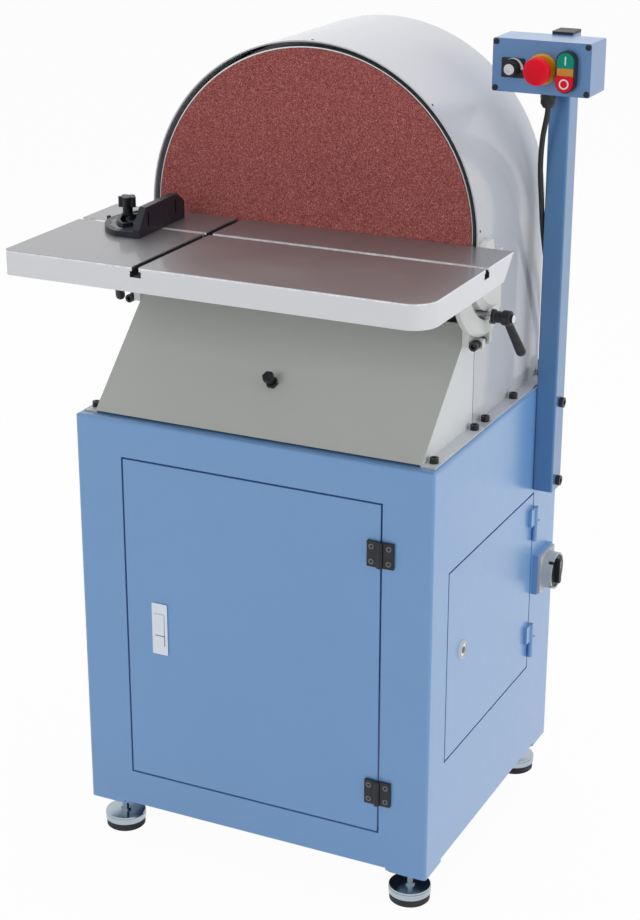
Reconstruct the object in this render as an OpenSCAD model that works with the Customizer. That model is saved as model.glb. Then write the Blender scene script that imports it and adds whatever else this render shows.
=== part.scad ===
// Floor-standing disc sander: sheet-steel cabinet, arched hood over a direct-driven disc,
// tilting slotted table on trunnions, mitre gauge and a control box on a post.
// Millimetres. X runs to the right, Y runs from the front to the back, Z runs up from the floor.

/* [Cabinet] */
// Free edge of the cabinet's top beside each foot flange of the hood
cab_margin = 6; // [4:1:16]
// Height of the cabinet body without its feet
cab_h = 649; // [630:1:700]
// Height of the cabinet's underside above the floor
cab_lift = 59; // [56:1:68]
// Thickness of the folded sheet
sheet = 2; // [1.5:0.5:3]
// Radius of the folded edges
fold_r = 5; // [4:0.5:8]
// Rise of the bottom edge between the corner legs
edge_rise = 5.5; // [3:0.5:10]
// Width of each corner leg
leg_w = 60; // [56:1:80]

/* [Doors] */
// Width of the front door
door_w = 420; // [380:1:440]
// Height of the front door
door_h = 524; // [480:1:540]
// Height of the front door's lower edge above the cabinet's underside
door_sill = 65; // [50:1:80]
// Gap round each door
door_gap = 3; // [2:0.5:4]
// Depth of the front door's folded edges
door_fold = 18; // [14:1:24]
// Width of the side door
side_door_w = 346; // [320:1:380]
// Height of the side door
side_door_h = 302; // [280:1:306]
// Distance of the side door's front edge from the cabinet's front
side_door_front = 65; // [55:1:70]
// Distance of the side door's rear edge from the cabinet's back
side_rear = 109; // [106:1:130]
// Height of the side door's lower edge above the cabinet's underside
side_door_sill = 171; // [150:1:173]
// Depth of the side door's folded edges
side_fold = 14; // [10:1:16]

/* [Disc and hood] */
// Diameter of the sanding disc
disc_d = 510; // [500:1:520]
// Thickness of the disc plate
disc_t = 20; // [16:1:22]
// Thickness of the abrasive sheet
abrasive_t = 2; // [1:0.5:3]
// Gap between the disc's lowest point and the cabinet's top
disc_low = 21; // [18:1:30]
// Distance of the abrasive face from the cabinet's front
disc_face = 205; // [200:1:210]
// Gap between the disc's edge and the hood
disc_gap = 7; // [5:0.5:9]
// Thickness of the hood's sheet
hood_sheet = 2; // [1.5:0.5:3]
// Room between the motor's fan cover and the outside of the hood's back
hood_rear_room = 26.5; // [22:0.5:32]
// Distance of the hood's back from the cabinet's back
hood_setback = 40.5; // [40:0.5:60]
// Width of the hood's foot flange
flange_w = 20; // [17:1:24]

/* [Lower cover] */
// Distance of the cover's foot from the cabinet's front
cover_foot = 16; // [12:1:24]
// Distance of the cover's upper edge from the cabinet's front
cover_head = 180; // [170:1:188]
// Height of the cover's upper edge above the cabinet
cover_rise = 161; // [150:1:166]
// Height of the cover's side walls above the cabinet
cover_side_rise = 141; // [120:1:144]

/* [Table] */
// Reach of the table beyond the hood's left side
table_left_over = 65.5; // [60:0.5:80]
// Reach of the table beyond the hood's right side
table_right_over = 54.5; // [50:0.5:70]
// Depth of the table
table_d = 306; // [290:1:320]
// Height of the table's edge
table_t = 36; // [34:1:40]
// Distance of the table's top below the disc's axis
table_below = 6; // [2:1:10]
// Gap between the table and the abrasive face
table_gap = 3; // [2.5:0.5:4]
// Radius of the table's right front corner
table_corner_r = 36; // [20:1:50]
// Radius of the table's left front corner
table_left_r = 10; // [6:1:20]
// Greatest tilt of the table, front edge down
tilt_max = 45; // [30:1:45]
// Width of the neck of the T-slots
slot_w = 11; // [10:0.5:13]
// Depth of the neck of the T-slots
slot_neck = 6.3; // [5:0.1:8]
// Width of the wide part of the T-slots
slot_wide = 17.5; // [16:0.5:20]
// Height of the wide part of the T-slots
slot_wide_h = 8.5; // [7:0.5:9]
// Distance of the cross slot from the table's rear edge
cross_slot = 101; // [96:1:110]
// Distance of the front-to-back slot left of the disc's axis
long_slot = 114.5; // [100:0.5:130]

/* [Trunnions] */
// Outer radius of the trunnion about the tilt axis
trunnion_r = 126; // [124:1:130]
// Thickness of the trunnion's ring
trunnion_t = 14.5; // [12:0.5:16]
// Height of the trunnion's raised core above its ring
core_rise = 7.7; // [5:0.1:9]
// Radius of the clamp slot's centre line about the tilt axis
clamp_r = 94; // [92:1:96]
// Angle of the clamp stud ahead of straight down
clamp_angle = 14; // [12:1:16]
// Radius of the clamp stud
stud_r = 6; // [5:0.5:6]
// Thickness of the bracket that carries a trunnion
bracket_t = 10.5; // [9:0.5:12]
// Length of the clamp lever's hub
lever_hub_l = 28; // [24:1:32]
// Length of the clamp lever's arm
lever_l = 72; // [60:1:80]
// Angle at which the clamp lever's arm leans outward
lever_splay = 12; // [0:1:15]

/* [Mitre gauge] */
// Radius of the gauge's half-round base
mitre_r = 77; // [72:1:82]
// Width of the gauge's base along its fence
mitre_w = 140; // [120:1:144]
// Thickness of the gauge's base
mitre_t = 8; // [6:0.5:10]
// Height of the fence above the table
fence_h = 41; // [36:1:50]
// Thickness of the fence
fence_t = 11; // [9:0.5:13]
// Angle at which the fence is set
mitre_angle = 2; // [0:1:10]
// Distance of the gauge's pivot from the table's left end
mitre_in = 131.5; // [126:0.5:140]
// Length of the gauge's bar
bar_l = 180; // [170:1:184]

/* [Motor] */
// Radius of the motor's housing
motor_r = 92; // [80:1:96]
// Length of the motor's housing
motor_l = 110; // [100:1:120]
// Radius of the motor's shaft
shaft_r = 19; // [16:0.5:20]
// Number of cooling fins
fin_count = 24; // [16:2:28]
// Number of fan blades
blade_count = 8; // [5:1:9]

/* [Controls] */
// Width of the control post across the machine
post_w = 32; // [30:1:34]
// Depth of the control post
post_d = 40; // [36:1:44]
// Height of the top of the post above the top of the hood
post_over = 1; // [0:1:20]
// Width of the control box
box_w = 148; // [144:1:154]
// Height of the control box
box_h = 76; // [74:1:84]
// Depth of the control box with its lid
box_d = 64; // [58:1:70]
// Depth of the lid of the control box
lid_d = 14; // [12:1:18]
// Diameter of the emergency stop's head
estop_d = 40; // [36:1:42]
// Travel of the emergency stop
estop_travel = 5; // [3:0.5:6]
// Width of the start and stop buttons
button_w = 25; // [22:0.5:26]
// Travel of the start and stop buttons
button_travel = 3; // [2:0.5:4]
// Side of the main switch's front plate
switch_side = 65; // [60:1:68]
// Depth of the main switch's box
switch_box_d = 9.5; // [8:0.5:12]

/* [Feet and dust port] */
// Diameter of a foot's metal cup
foot_d = 65; // [58:1:68]
// Thickness of a foot's rubber pad
pad_t = 13; // [10:1:14]
// Outer diameter of the dust port
dust_d = 100; // [90:1:104]
// Length of the dust port behind the hood
dust_reach = 64; // [50:1:70]

/* [Hidden] */
$fn = 64;

// Clearance between pieces that move past each other
run_gap = 0.3;
// Radial clearance of a pin that turns in its hole
pin_gap = 0.05;
// Radial clearance of a fixed piece in its hole
seat_gap = 0.02;

// Disc, motor and hood from front to back
hood_in = disc_d / 2 + disc_gap;
hood_r = hood_in + hood_sheet;
hood_lead = 1.5;
hood_front = disc_face - hood_lead;
disc_back = disc_face + abrasive_t + disc_t;
hub_r = 55;
hub_l = 26;
bulk_front = disc_back + hub_l + 8;
bulk_t = 8;
motor_front = bulk_front + bulk_t;
bell_l = 30;
motor_mid = motor_front + bell_l;
motor_rear = motor_mid + motor_l;
rear_bell_l = 18;
fan_y = motor_rear + rear_bell_l + 4;
fan_l = 14;
cover_y = fan_y + fan_l + 8;
hood_back_y = cover_y + hood_rear_room;
rotor_r = motor_r - 30;
front_bearing_r = shaft_r + 20;
rear_shaft_r = shaft_r - 4;
rear_bearing_r = rear_shaft_r + 16;

// Cabinet, wide enough for the hood and deep enough for the hood and the side door
cab_w = 2 * (hood_r + flange_w + cab_margin);
side_door_back = side_door_front + side_door_w;
cab_d = max(side_door_back + side_rear, hood_back_y + hood_setback);

// Levels, and the edges of the table
cab_top = cab_lift + cab_h;
axis_z = cab_top + disc_low + disc_d / 2;
table_top = axis_z - table_below;
table_back = disc_face - table_gap;
table_front = table_back - table_d;
table_left = -hood_r - table_left_over;
table_right = hood_r + table_right_over;

// Trunnion and clamp planes, as distances from the disc's axis
trunnion_in = hood_r + bracket_t + run_gap;
ring_face = trunnion_in + trunnion_t;
core_face = ring_face + core_rise;
washer_t = 2.5;
washer_r = 11.5;
washer_face = core_face + run_gap + washer_t;
lever_in = washer_face + run_gap;
lever_out = lever_in + lever_hub_l;
end_screw_t = 2.5;
lever_grip_r = 7.5;
lever_arm_x = lever_out - 9;
lever_tip = lever_arm_x + (lever_l - lever_grip_r) * sin(lever_splay) + lever_grip_r;
lever_reach = max(lever_out + end_screw_t, lever_tip);
ring_bevel = 7;
core_bevel = 9;
slot_r = stud_r + 0.5;
slot_in = clamp_r - slot_r;
core_edge_r = slot_in - 0.5;
stud_at = [-clamp_r * sin(clamp_angle), -clamp_r * cos(clamp_angle)];

// Doors
door_base = cab_lift + door_sill;
hinge_r = 4.7;
hinge_pin_r = 3;
hinge_out = 5;
hinge_x = door_w / 2 + door_gap / 2;
hinge_h = 39;
hinge_leaf_w = 20.5;
hinge_inset = 74;
hinge_levels = [door_base + hinge_inset - 7, door_base + door_h - hinge_inset];
lip_d = door_fold + 2;
hinge_third = hinge_h / 6;
side_door_base = cab_lift + side_door_sill;
side_hinge_x = cab_w / 2 + 4.5;
side_hinge_y = side_door_back + door_gap / 2;
side_hinge_h = 29;
side_hinge_r = 4.2;
side_leaf_w = 20;
side_hinge_levels = [side_door_base + 48, side_door_base + side_door_h - 50];
side_lip_d = side_fold + 2;

// Front door latch
latch_x = -door_w / 2 + 57;
latch_z = door_base + 258;
latch_w = 26.5;
latch_h = 84.5;
latch_plate_t = 3;
latch_in_w = 16.4;
paddle_top = latch_z + 25;
paddle_l = 35;
paddle_axis = [-0.5, paddle_top - 3.5];
paddle_r = 3.5;
latch_button_h = 16.4;
latch_tub_d = 16;

// Side door lock
lock_y = side_door_front + 57;
lock_z = side_door_base + 158;
lock_r = 8;
core_r = 5.5;
cam_l = 76;

// Feet
foot_x = cab_w / 2 - 40;
foot_ys = [36, cab_d - 36];
foot_stud_r = 5;
foot_cup_t = 12;
corner_plate_t = edge_rise;

// Dust port
dust_wall = 2.5;
dust_x = dust_d / 2 + 47 - hood_in;
dust_z = cab_top + 76;
dust_end = hood_back_y + dust_reach;

// Controls
post_x = cab_w / 2 + post_w / 2;
post_y = hood_back_y - 54.5;
post_top = axis_z + hood_r + post_over;
post_wall = 3;
post_base = side_door_base + side_door_h + 10;
box_x = post_x - 7;
box_back = post_y - post_d / 2;
box_front = box_back - box_d;
lid_back = box_front + lid_d;
box_z = post_top - box_h / 2;
box_wall = 4;
dial_x = box_x - 42;
dial_z = box_z - 3;
estop_x = box_x + 2;
estop_z = box_z - 2;
buttons_x = box_x + 40;
buttons_z = box_z - 2;
dial_w = 35;
dial_h = 28;
dial_t = 2;
knob_r = 12;
knob_l = 16;
collar_d = estop_d + 4;
collar_t = 5;
estop_stem_r = 8;
estop_head_l = 20;
estop_base = box_front - collar_t - 4 - estop_travel - 1;
buttons_l = 55;
button_rim = 2;
button_body_t = 12;
lens_h = 11;
lid_screw_in = 5;
switch_y = side_door_back + 43;
switch_z = side_door_base + 159.5;
switch_ring_r = 30;
switch_ring_l = 17;
switch_plate_t = 4;
switch_face = cab_w / 2 + switch_box_d + switch_plate_t;

// Glands and cable
gland_r = 12;
gland_l = 24;
cable_r = 4;
box_gland = [box_x + 1, (lid_back + box_back) / 2 - 7];
top_gland = [cab_w / 2 - 20, cab_d - 26];
back_gland = [cab_w / 2 - 60, cab_lift + 110];
cable_seat = 4;
cable_start = [box_gland.x, box_gland.y, box_z - box_h / 2 - gland_l + cable_seat];
cable_end = [top_gland.x, top_gland.y, cab_top + gland_l - cable_seat];
// Shares of the way from one end of the cable to the other, along X, Y and Z
cable_shares = [
  [0, 0, 0], [0, 0, 0.03], [0.27, 0.05, 0.125], [0.44, 0.14, 0.235], [0.49, 0.26, 0.35], [0.53, 0.38, 0.46],
  [0.6, 0.59, 0.59], [0.77, 0.81, 0.74], [0.95, 0.97, 0.89], [1, 1, 0.945], [1, 1, 1]
];
cable_span = cable_end - cable_start;
cable_pts = [for (p = cable_shares) cable_start + [p.x * cable_span.x, p.y * cable_span.y, p.z * cable_span.z]];
cable_steps = 5;
cable_sides = 10;

// Tilt stop on the sloping cover
cover_lip = 3;
cover_slope = atan2(cover_rise - cover_lip, cover_head - cover_foot);
stop_along = 0.39;
stop_y = cover_foot + stop_along * (cover_head - cover_foot);
stop_z = cab_top + cover_lip + stop_along * (cover_rise - cover_lip);
stop_drop = (stop_y - table_back) * -sin(tilt_max) + (stop_z - table_top) * cos(tilt_max);
stop_reach = -table_t - stop_drop - 0.9;
stop_pad_y = table_back + (stop_y - table_back) * cos(tilt_max) + (stop_z - table_top) * sin(tilt_max);

// Zero stop below each trunnion, in trunnion coordinates
heel_back = 4;
heel_front = -8;
heel_low = -trunnion_r - 12;
lug_front = -34;
lug_back = -22;
lug_h = 12;
zero_screw_r = 4;
zero_screw_z = -trunnion_r - 5.5;
zero_screw_x = trunnion_in + 7;

// Mitre gauge
bar_y = table_back - cross_slot;
bar_clear = 0.25;
bar_tail = 106;
mitre_x = -table_left - mitre_in;
mitre_base = table_top + run_gap;
mitre_stud_back = 50;
mitre_stud_r = 3;
pivot_r = 4;
pivot_h = 12;

// Foot-flange screws
screw_r = 4;
screw_head_r = 6.5;
screw_head_h = 8;
screw_x = hood_r + flange_w / 2;
cover_screw_ys = [cover_foot + 20, hood_front - 16];
hood_screw_ys = [hood_front + 26, hood_front + 142, hood_back_y - 10];

// Outer box of the machine, whose base centre is the origin
right_x = box_x + box_w / 2;
left_x = min(-lever_reach, table_left);
back_y = max(cab_d + gland_l, dust_end);
mid_x = (right_x + left_x) / 2;
mid_y = (table_front + back_y) / 2;

// Shared shapes

// Moves a piece from machine coordinates to the part's frame
module place() {
  translate([-mid_x, -mid_y, 0]) children();
}

// Box between two corners
module block(low, high) {
  translate(low) cube(high - low);
}

// Carries a profile drawn in X and Z from one Y to another
module along_y(from, to) {
  translate([0, to, 0]) rotate([90, 0, 0]) linear_extrude(to - from) children();
}

// Carries a profile drawn in Y and Z from one X to another
module along_x(from, to) {
  translate([from, 0, 0]) rotate([90, 0, 90]) linear_extrude(to - from) children();
}

// Puts a shape that stands on local Z onto the disc's axis, pointing to the back
module about_disc() {
  translate([0, 0, axis_z]) rotate([-90, 0, 0]) children();
}

// Puts a shape that stands on local Z at a point, pointing to the front
module facing_front(x, y, z) {
  translate([x, y, z]) rotate([90, 0, 0]) children();
}

// Puts a shape that stands on local Z at a point, pointing to the right
module facing_right(x, y, z) {
  translate([x, y, z]) rotate([0, 90, 0]) children();
}

// Rectangle with round corners, centred
module round_rect(w, h, r) {
  square([w - 2 * r, h], center = true);
  square([w, h - 2 * r], center = true);
  for (sx = [-1, 1], sy = [-1, 1])
    translate([sx * (w / 2 - r), sy * (h / 2 - r)]) circle(r);
}

// Round-ended slot along Y, centred
module stadium(w, h) {
  square([w, h - w], center = true);
  for (s = [-1, 1]) translate([0, s * (h - w) / 2]) circle(w / 2);
}

// Ring between two radii
module ring(outer, inner) {
  difference() {
    circle(outer);
    circle(inner);
  }
}

// Wedge of the plane between two angles, out to a radius
module wedge(r, a0, a1) {
  polygon(concat([[0, 0]], [for (k = [0 : 6]) let (a = a0 + (a1 - a0) * k / 6) [r * cos(a), r * sin(a)]]));
}

// Arch of the hood: a half-round top on straight sides down to the cabinet
module arch(r) {
  translate([0, axis_z]) circle(r, $fn = 96);
  translate([-r, cab_top]) square([2 * r, axis_z - cab_top]);
}

// Rectangular frame, given by its opening and its wall
module frame(w, h, wall) {
  difference() {
    square([w + 2 * wall, h + 2 * wall], center = true);
    square([w, h], center = true);
  }
}

// Socket-head screw standing on local Z, head above zero
module socket_screw(r, head_r, head_h, shank) {
  difference() {
    cylinder(h = head_h, r = head_r);
    translate([0, 0, head_h * 0.45]) cylinder(h = head_h, r = head_r * 0.55, $fn = 6);
  }
  translate([0, 0, -shank]) cylinder(h = shank + 0.5, r = r);
}

// Hexagon nut with a round hole
module hex_nut(hole_r, flat_r, h) {
  difference() {
    cylinder(h = h, r = flat_r / cos(30), $fn = 6);
    translate([0, 0, -1]) cylinder(h = h + 2, r = hole_r);
  }
}

// Both sides of the machine, the second one mirrored
module both_sides() {
  children();
  mirror([1, 0, 0]) children();
}

// Cabinet

module cabinet_solid(inset) {
  w = cab_w - 2 * inset;
  r = max(fold_r - inset, 1);
  intersection() {
    translate([0, cab_d / 2, cab_lift - 1]) linear_extrude(cab_h - inset + 1)
      round_rect(w, cab_d - 2 * inset, r);
    along_y(0, cab_d) translate([0, cab_top - inset - cab_h]) round_rect(w, 2 * cab_h, r);
    along_x(-cab_w / 2, cab_w / 2) translate([cab_d / 2, cab_top - inset - cab_h])
      round_rect(cab_d - 2 * inset, 2 * cab_h, r);
  }
}

module cabinet_shell() {
  rear_slot_w = 120;
  flange_in = 25;
  edge_z = cab_lift + edge_rise;
  color("#7a9dc4") place() difference() {
    union() {
      difference() {
        intersection() {
          cabinet_solid(0);
          block([-cab_w, -1, cab_lift], [cab_w, cab_d + 1, cab_top + 1]);
        }
        cabinet_solid(sheet);
        block([leg_w - cab_w / 2, -1, cab_lift - 1], [cab_w / 2 - leg_w, cab_d + 1, edge_z]);
        block([-cab_w / 2 - 1, leg_w, cab_lift - 1], [cab_w / 2 + 1, cab_d - leg_w, edge_z]);
      }
      for (y = [sheet / 2, cab_d - flange_in])
        block([leg_w - cab_w / 2, y, edge_z], [cab_w / 2 - leg_w, y + flange_in - sheet / 2, edge_z + sheet]);
      for (x = [-cab_w / 2 + sheet / 2, cab_w / 2 - flange_in])
        block([x, leg_w, edge_z], [x + flange_in - sheet / 2, cab_d - leg_w, edge_z + sheet]);
      along_y(sheet / 2, lip_d) translate([0, door_base + door_h / 2])
        frame(door_w + 2 * door_gap, door_h + 2 * door_gap, sheet);
      along_x(cab_w / 2 - side_lip_d, cab_w / 2 - sheet / 2)
        translate([side_door_front + side_door_w / 2, side_door_base + side_door_h / 2])
          frame(side_door_w + 2 * door_gap, side_door_h + 2 * door_gap, sheet);
    }
    along_y(-1, lip_d + 1) translate([0, door_base + door_h / 2])
      square([door_w + 2 * door_gap, door_h + 2 * door_gap], center = true);
    along_x(cab_w / 2 - side_lip_d - 1, cab_w / 2 + 1)
      translate([side_door_front + side_door_w / 2, side_door_base + side_door_h / 2])
        square([side_door_w + 2 * door_gap, side_door_h + 2 * door_gap], center = true);
    for (row = [0 : 5], s = [-1, 1])
      along_y(cab_d - sheet - 1, cab_d + 1)
        translate([s * rear_slot_w * 0.8, cab_top - 110 - row * 18]) rotate(90) stadium(6, rear_slot_w);
    both_sides() for (y = concat(cover_screw_ys, hood_screw_ys))
      translate([screw_x, y, cab_top - sheet - 1]) cylinder(h = sheet + 2, r = screw_r + seat_gap);
    translate([top_gland.x, top_gland.y, cab_top - sheet - 1]) cylinder(h = sheet + 2, r = gland_r - 3);
    translate([back_gland.x, cab_d + 1, back_gland.y]) rotate([90, 0, 0]) cylinder(h = sheet + 2, r = gland_r - 3);
    facing_right(cab_w / 2 - sheet - 1, switch_y, switch_z) cylinder(h = sheet + 2, r = 15);
    for (z = post_bolt_levels())
      facing_right(cab_w / 2 - sheet - 1, post_y, z) cylinder(h = sheet + 2, r = 5 + seat_gap);
  }
}

module corner_plates() {
  size = leg_w + 6;
  color("#6f8fb5") place() for (sx = [-1, 1], k = [0, 1]) {
    x0 = sx < 0 ? sheet - cab_w / 2 : cab_w / 2 - sheet - size;
    y0 = k == 0 ? sheet : cab_d - sheet - size;
    difference() {
      translate([x0 + size / 2, y0 + size / 2, cab_lift]) linear_extrude(corner_plate_t)
        round_rect(size, size, fold_r);
      translate([sx * foot_x, foot_ys[k], cab_lift - 1])
        cylinder(h = corner_plate_t + 2, r = foot_stud_r + seat_gap);
    }
  }
}

// Feet

module at_feet() {
  for (sx = [-1, 1], y = foot_ys) translate([sx * foot_x, y, 0]) children();
}

module levelling_feet() {
  r = foot_d / 2;
  color("#d5d9de") place() at_feet() rotate_extrude() polygon([
    [0, pad_t], [r, pad_t], [r, pad_t + foot_cup_t - 3.2], [r - 0.8, pad_t + foot_cup_t - 2.8],
    [r - 0.8, pad_t + foot_cup_t - 2.2], [r, pad_t + foot_cup_t - 1.8], [r - 1, pad_t + foot_cup_t],
    [8, pad_t + foot_cup_t], [8, pad_t + foot_cup_t + 3], [foot_stud_r, pad_t + foot_cup_t + 3],
    [foot_stud_r, cab_lift + 32], [foot_stud_r - 1, cab_lift + 33], [0, cab_lift + 33]
  ]);
}

module foot_pads() {
  r = foot_d / 2 - 1.5;
  color("#3b3b3f") place() at_feet() rotate_extrude() polygon([
    [0, 0], [r - 1.5, 0], [r, 1.5], [r, pad_t], [0, pad_t]
  ]);
}

module foot_nuts() {
  nut_h = 8;
  color("#b9bec5") place() at_feet() translate([0, 0, cab_lift + corner_plate_t])
    hex_nut(foot_stud_r + seat_gap, 8.5, nut_h);
}

// Electrics in the cabinet

module electrics_plate() {
  w = 340;
  h = 380;
  stand = 20;
  y = cab_d - sheet - stand;
  z = cab_lift + 290;
  color("#b8bcc0") place() union() {
    along_y(y, y + sheet) translate([0, z]) square([w, h], center = true);
    for (s = [-1, 1]) along_y(y, cab_d - sheet) translate([s * (w / 2 - 1), z]) square([2, h], center = true);
  }
}

module inverter() {
  back = cab_d - sheet - 20;
  w = 130;
  h = 180;
  d = 95;
  z = cab_lift + 330;
  fins = 13;
  color("#4a4d52") place() difference() {
    along_y(back - d, back) translate([0, z]) round_rect(w, h, 6);
    for (k = [0 : fins - 1]) along_y(back - 28, back - 4)
      translate([(k - (fins - 1) / 2) * 9, z]) square([4, h + 2], center = true);
    along_y(back - d - 1, back - d + 2) translate([0, z + 45]) square([w - 40, 50], center = true);
    along_y(back - d - 1, back - d + 1.5) translate([0, z - h / 2 + 34]) square([w + 2, 1.5], center = true);
  }
}

// Hood, covers and their screws

module hood_shell() {
  color("#d3d7dc") place() difference() {
    union() {
      along_y(hood_front, hood_back_y) arch(hood_r);
      both_sides() block([hood_r - 1, hood_front, cab_top], [hood_r + flange_w, hood_back_y, cab_top + hood_sheet]);
    }
    along_y(hood_front - 1, hood_back_y + 1) union() {
      arch(hood_in);
      translate([-hood_in, cab_top - 1]) square([2 * hood_in, 2]);
    }
    both_sides() for (y = hood_screw_ys)
      translate([screw_x, y, cab_top - 1]) cylinder(h = hood_sheet + 2, r = screw_r + seat_gap);
  }
}

module hood_back() {
  r = hood_in - run_gap;
  louvre_l = 150;
  color("#cdd1d6") place() difference() {
    union() {
      along_y(hood_back_y - hood_sheet, hood_back_y) arch(r);
      along_y(hood_back_y - 22, hood_back_y) difference() {
        arch(r);
        arch(r - hood_sheet);
      }
    }
    for (k = [0 : 7]) along_y(hood_back_y - 30, hood_back_y + 1)
      translate([0, axis_z - 63 + k * 18]) rotate(90) stadium(6, louvre_l);
    along_y(hood_back_y - 30, hood_back_y + 1) translate([dust_x, dust_z]) circle(dust_d / 2 + seat_gap);
    along_y(hood_back_y - 30, hood_back_y - hood_sheet) translate([hood_sheet - r, cab_top - 1])
      square([2 * (r - hood_sheet), 5]);
  }
}

module lower_cover() {
  t = hood_sheet;
  back = hood_front - 0.5;
  side_at = cover_foot + (cover_side_rise - cover_lip) / tan(cover_slope);
  lip_z = cab_top + cover_lip;
  lean_y = t / sin(cover_slope);
  top_z = cab_top + cover_rise;
  color("#b9bcbd") place() difference() {
    union() {
      along_x(-hood_r, hood_r) polygon([
        [cover_foot, lip_z], [cover_foot + lean_y, lip_z],
        [cover_head + lean_y, top_z], [cover_head, top_z]
      ]);
      both_sides() {
        along_x(hood_in, hood_r) polygon([
          [cover_foot, cab_top], [back, cab_top],
          [back, cab_top + cover_side_rise], [side_at, cab_top + cover_side_rise], [cover_foot, lip_z]
        ]);
        block([hood_r - 1, cover_foot, cab_top], [hood_r + flange_w, back, cab_top + t]);
      }
    }
    both_sides() for (y = cover_screw_ys)
      translate([screw_x, y, cab_top - 1]) cylinder(h = t + 2, r = screw_r + seat_gap);
    translate([0, stop_y, stop_z]) rotate([cover_slope, 0, 0]) cylinder(h = 20, r = 5 + seat_gap, center = true);
  }
}

function post_bolt_levels() = [post_base + 15, cab_top - 22];

module cap_screws() {
  color("#26272a") place() {
    both_sides() for (y = concat(cover_screw_ys, hood_screw_ys))
      translate([screw_x, y, cab_top + hood_sheet]) socket_screw(screw_r, screw_head_r, screw_head_h, 16);
    for (z = post_bolt_levels()) facing_right(cab_w / 2 + post_w, post_y, z) socket_screw(5, 8, 7, post_w + 14);
    for (sx = [-1, 1], sz = [-1, 1])
      facing_front(box_x + sx * (box_w / 2 - lid_screw_in), box_front, box_z + sz * (box_h / 2 - lid_screw_in)) socket_screw(1.9, 3.4, 2, 18);
  }
}

// Bolt across the sloping cover that stops the tilt, and the screw below each trunnion for zero
module stop_bolts() {
  head_h = 6.5;
  color("#26272a") place() {
    translate([0, stop_y, stop_z]) rotate([cover_slope, 0, 0]) {
      translate([0, 0, -14]) cylinder(h = stop_reach + 14 - head_h / 2, r = 5);
      translate([0, 0, stop_reach - head_h]) cylinder(h = head_h, r = 8 / cos(30), $fn = 6);
    }
    translate([0, stop_y, stop_z]) rotate([cover_slope, 0, 0]) hex_nut(5 + seat_gap, 8, 6);
    both_sides() translate([zero_screw_x, table_back, table_top + zero_screw_z]) {
      tip = heel_front - run_gap;
      nut_h = 6;
      head = lug_front - nut_h - 3;
      translate([0, head, 0]) rotate([90, 0, 0]) socket_screw(zero_screw_r, 6.5, 8, tip - head);
      translate([0, lug_front - nut_h, 0]) rotate([-90, 0, 0]) hex_nut(zero_screw_r + seat_gap, 6, nut_h);
    }
  }
}

// Motor and its carrier

module bulkhead() {
  foot_l = 64;
  foot_t = 10;
  foot_half = hood_in - 52;
  color("#8d9297") place() difference() {
    union() {
      along_y(bulk_front, bulk_front + bulk_t) arch(hood_in - 2);
      block([-foot_half, bulk_front, cab_top], [foot_half, motor_front + foot_l, cab_top + foot_t]);
      both_sides() along_x(84, 92) polygon([
        [motor_front - 1, cab_top + 1], [motor_front + foot_l, cab_top + 1],
        [motor_front + foot_l, cab_top + foot_t + 4], [motor_front + 6, axis_z - motor_r - 24],
        [motor_front - 1, axis_z - motor_r - 24]
      ]);
    }
    along_y(bulk_front - 1, motor_front + 1) translate([0, axis_z]) circle(hub_r + 7);
    along_y(bulk_front - 1, motor_front + 1) translate([dust_x, dust_z]) circle(dust_d / 2 - dust_wall);
    for (k = [0 : 3]) about_disc() rotate(45 + 90 * k) translate([motor_r - 8, 0, bulk_front - 1])
      cylinder(h = bulk_t + 2, r = 5.5);
  }
}

module motor_housing() {
  color("#6f757c") place() about_disc() difference() {
    union() {
      translate([0, 0, motor_mid]) cylinder(h = motor_l, r = motor_r - 10);
      for (k = [0 : fin_count - 1]) rotate(360 * (k + 0.5) / fin_count)
        translate([motor_r - 12, -1.5, motor_mid]) cube([12, 3, motor_l]);
    }
    translate([0, 0, motor_mid - 1]) cylinder(h = motor_l + 2, r = rotor_r + 0.6);
  }
}

module motor_end_bells() {
  front_seat = motor_front + 6;
  color("#7d838a") place() about_disc() {
    rotate_extrude() polygon([
      [shaft_r + 3, motor_front], [motor_r + 4, motor_front], [motor_r + 4, motor_front + 10],
      [motor_r - 8, motor_front + 14], [motor_r - 8, motor_mid], [motor_r - 24, motor_mid],
      [motor_r - 24, motor_front + 16], [front_bearing_r + 8, motor_front + 16],
      [front_bearing_r + 8, front_seat + 20], [front_bearing_r + seat_gap, front_seat + 20],
      [front_bearing_r + seat_gap, front_seat], [shaft_r + 3, front_seat]
    ]);
    rotate_extrude() polygon([
      [rear_bearing_r + seat_gap, motor_rear], [motor_r - 8, motor_rear],
      [motor_r - 8, motor_rear + 8], [rear_bearing_r + 10, motor_rear + rear_bell_l],
      [rear_shaft_r + 3, motor_rear + rear_bell_l], [rear_shaft_r + 3, motor_rear + 15],
      [rear_bearing_r + seat_gap, motor_rear + 15]
    ]);
  }
}

module motor_bearings() {
  color("#c9cdd2") place() about_disc() {
    translate([0, 0, motor_front + 6]) linear_extrude(20) ring(front_bearing_r, shaft_r + pin_gap);
    translate([0, 0, motor_rear]) linear_extrude(15) ring(rear_bearing_r, rear_shaft_r + pin_gap);
  }
}

module motor_fan_cover() {
  r = motor_r - 2;
  t = 2;
  slot_rows = [26, 46, 66];
  color("#5d6268") place() about_disc() difference() {
    rotate_extrude() polygon([
      [motor_r - 8, motor_rear + 0.5], [motor_r - 6, motor_rear + 0.5], [r, motor_rear + 12],
      [r, cover_y], [r - 8, cover_y + 6], [0, cover_y + 6], [0, cover_y + 6 - t],
      [r - 9, cover_y + 6 - t], [r - t, cover_y - 1], [r - t, motor_rear + 13],
      [motor_r - 8, motor_rear + 2.5]
    ]);
    for (radius = slot_rows, k = [0 : 11]) rotate(30 * k) translate([radius, 0, cover_y])
      cylinder(h = 10, r = radius * 0.09 + 1);
  }
}

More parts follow.
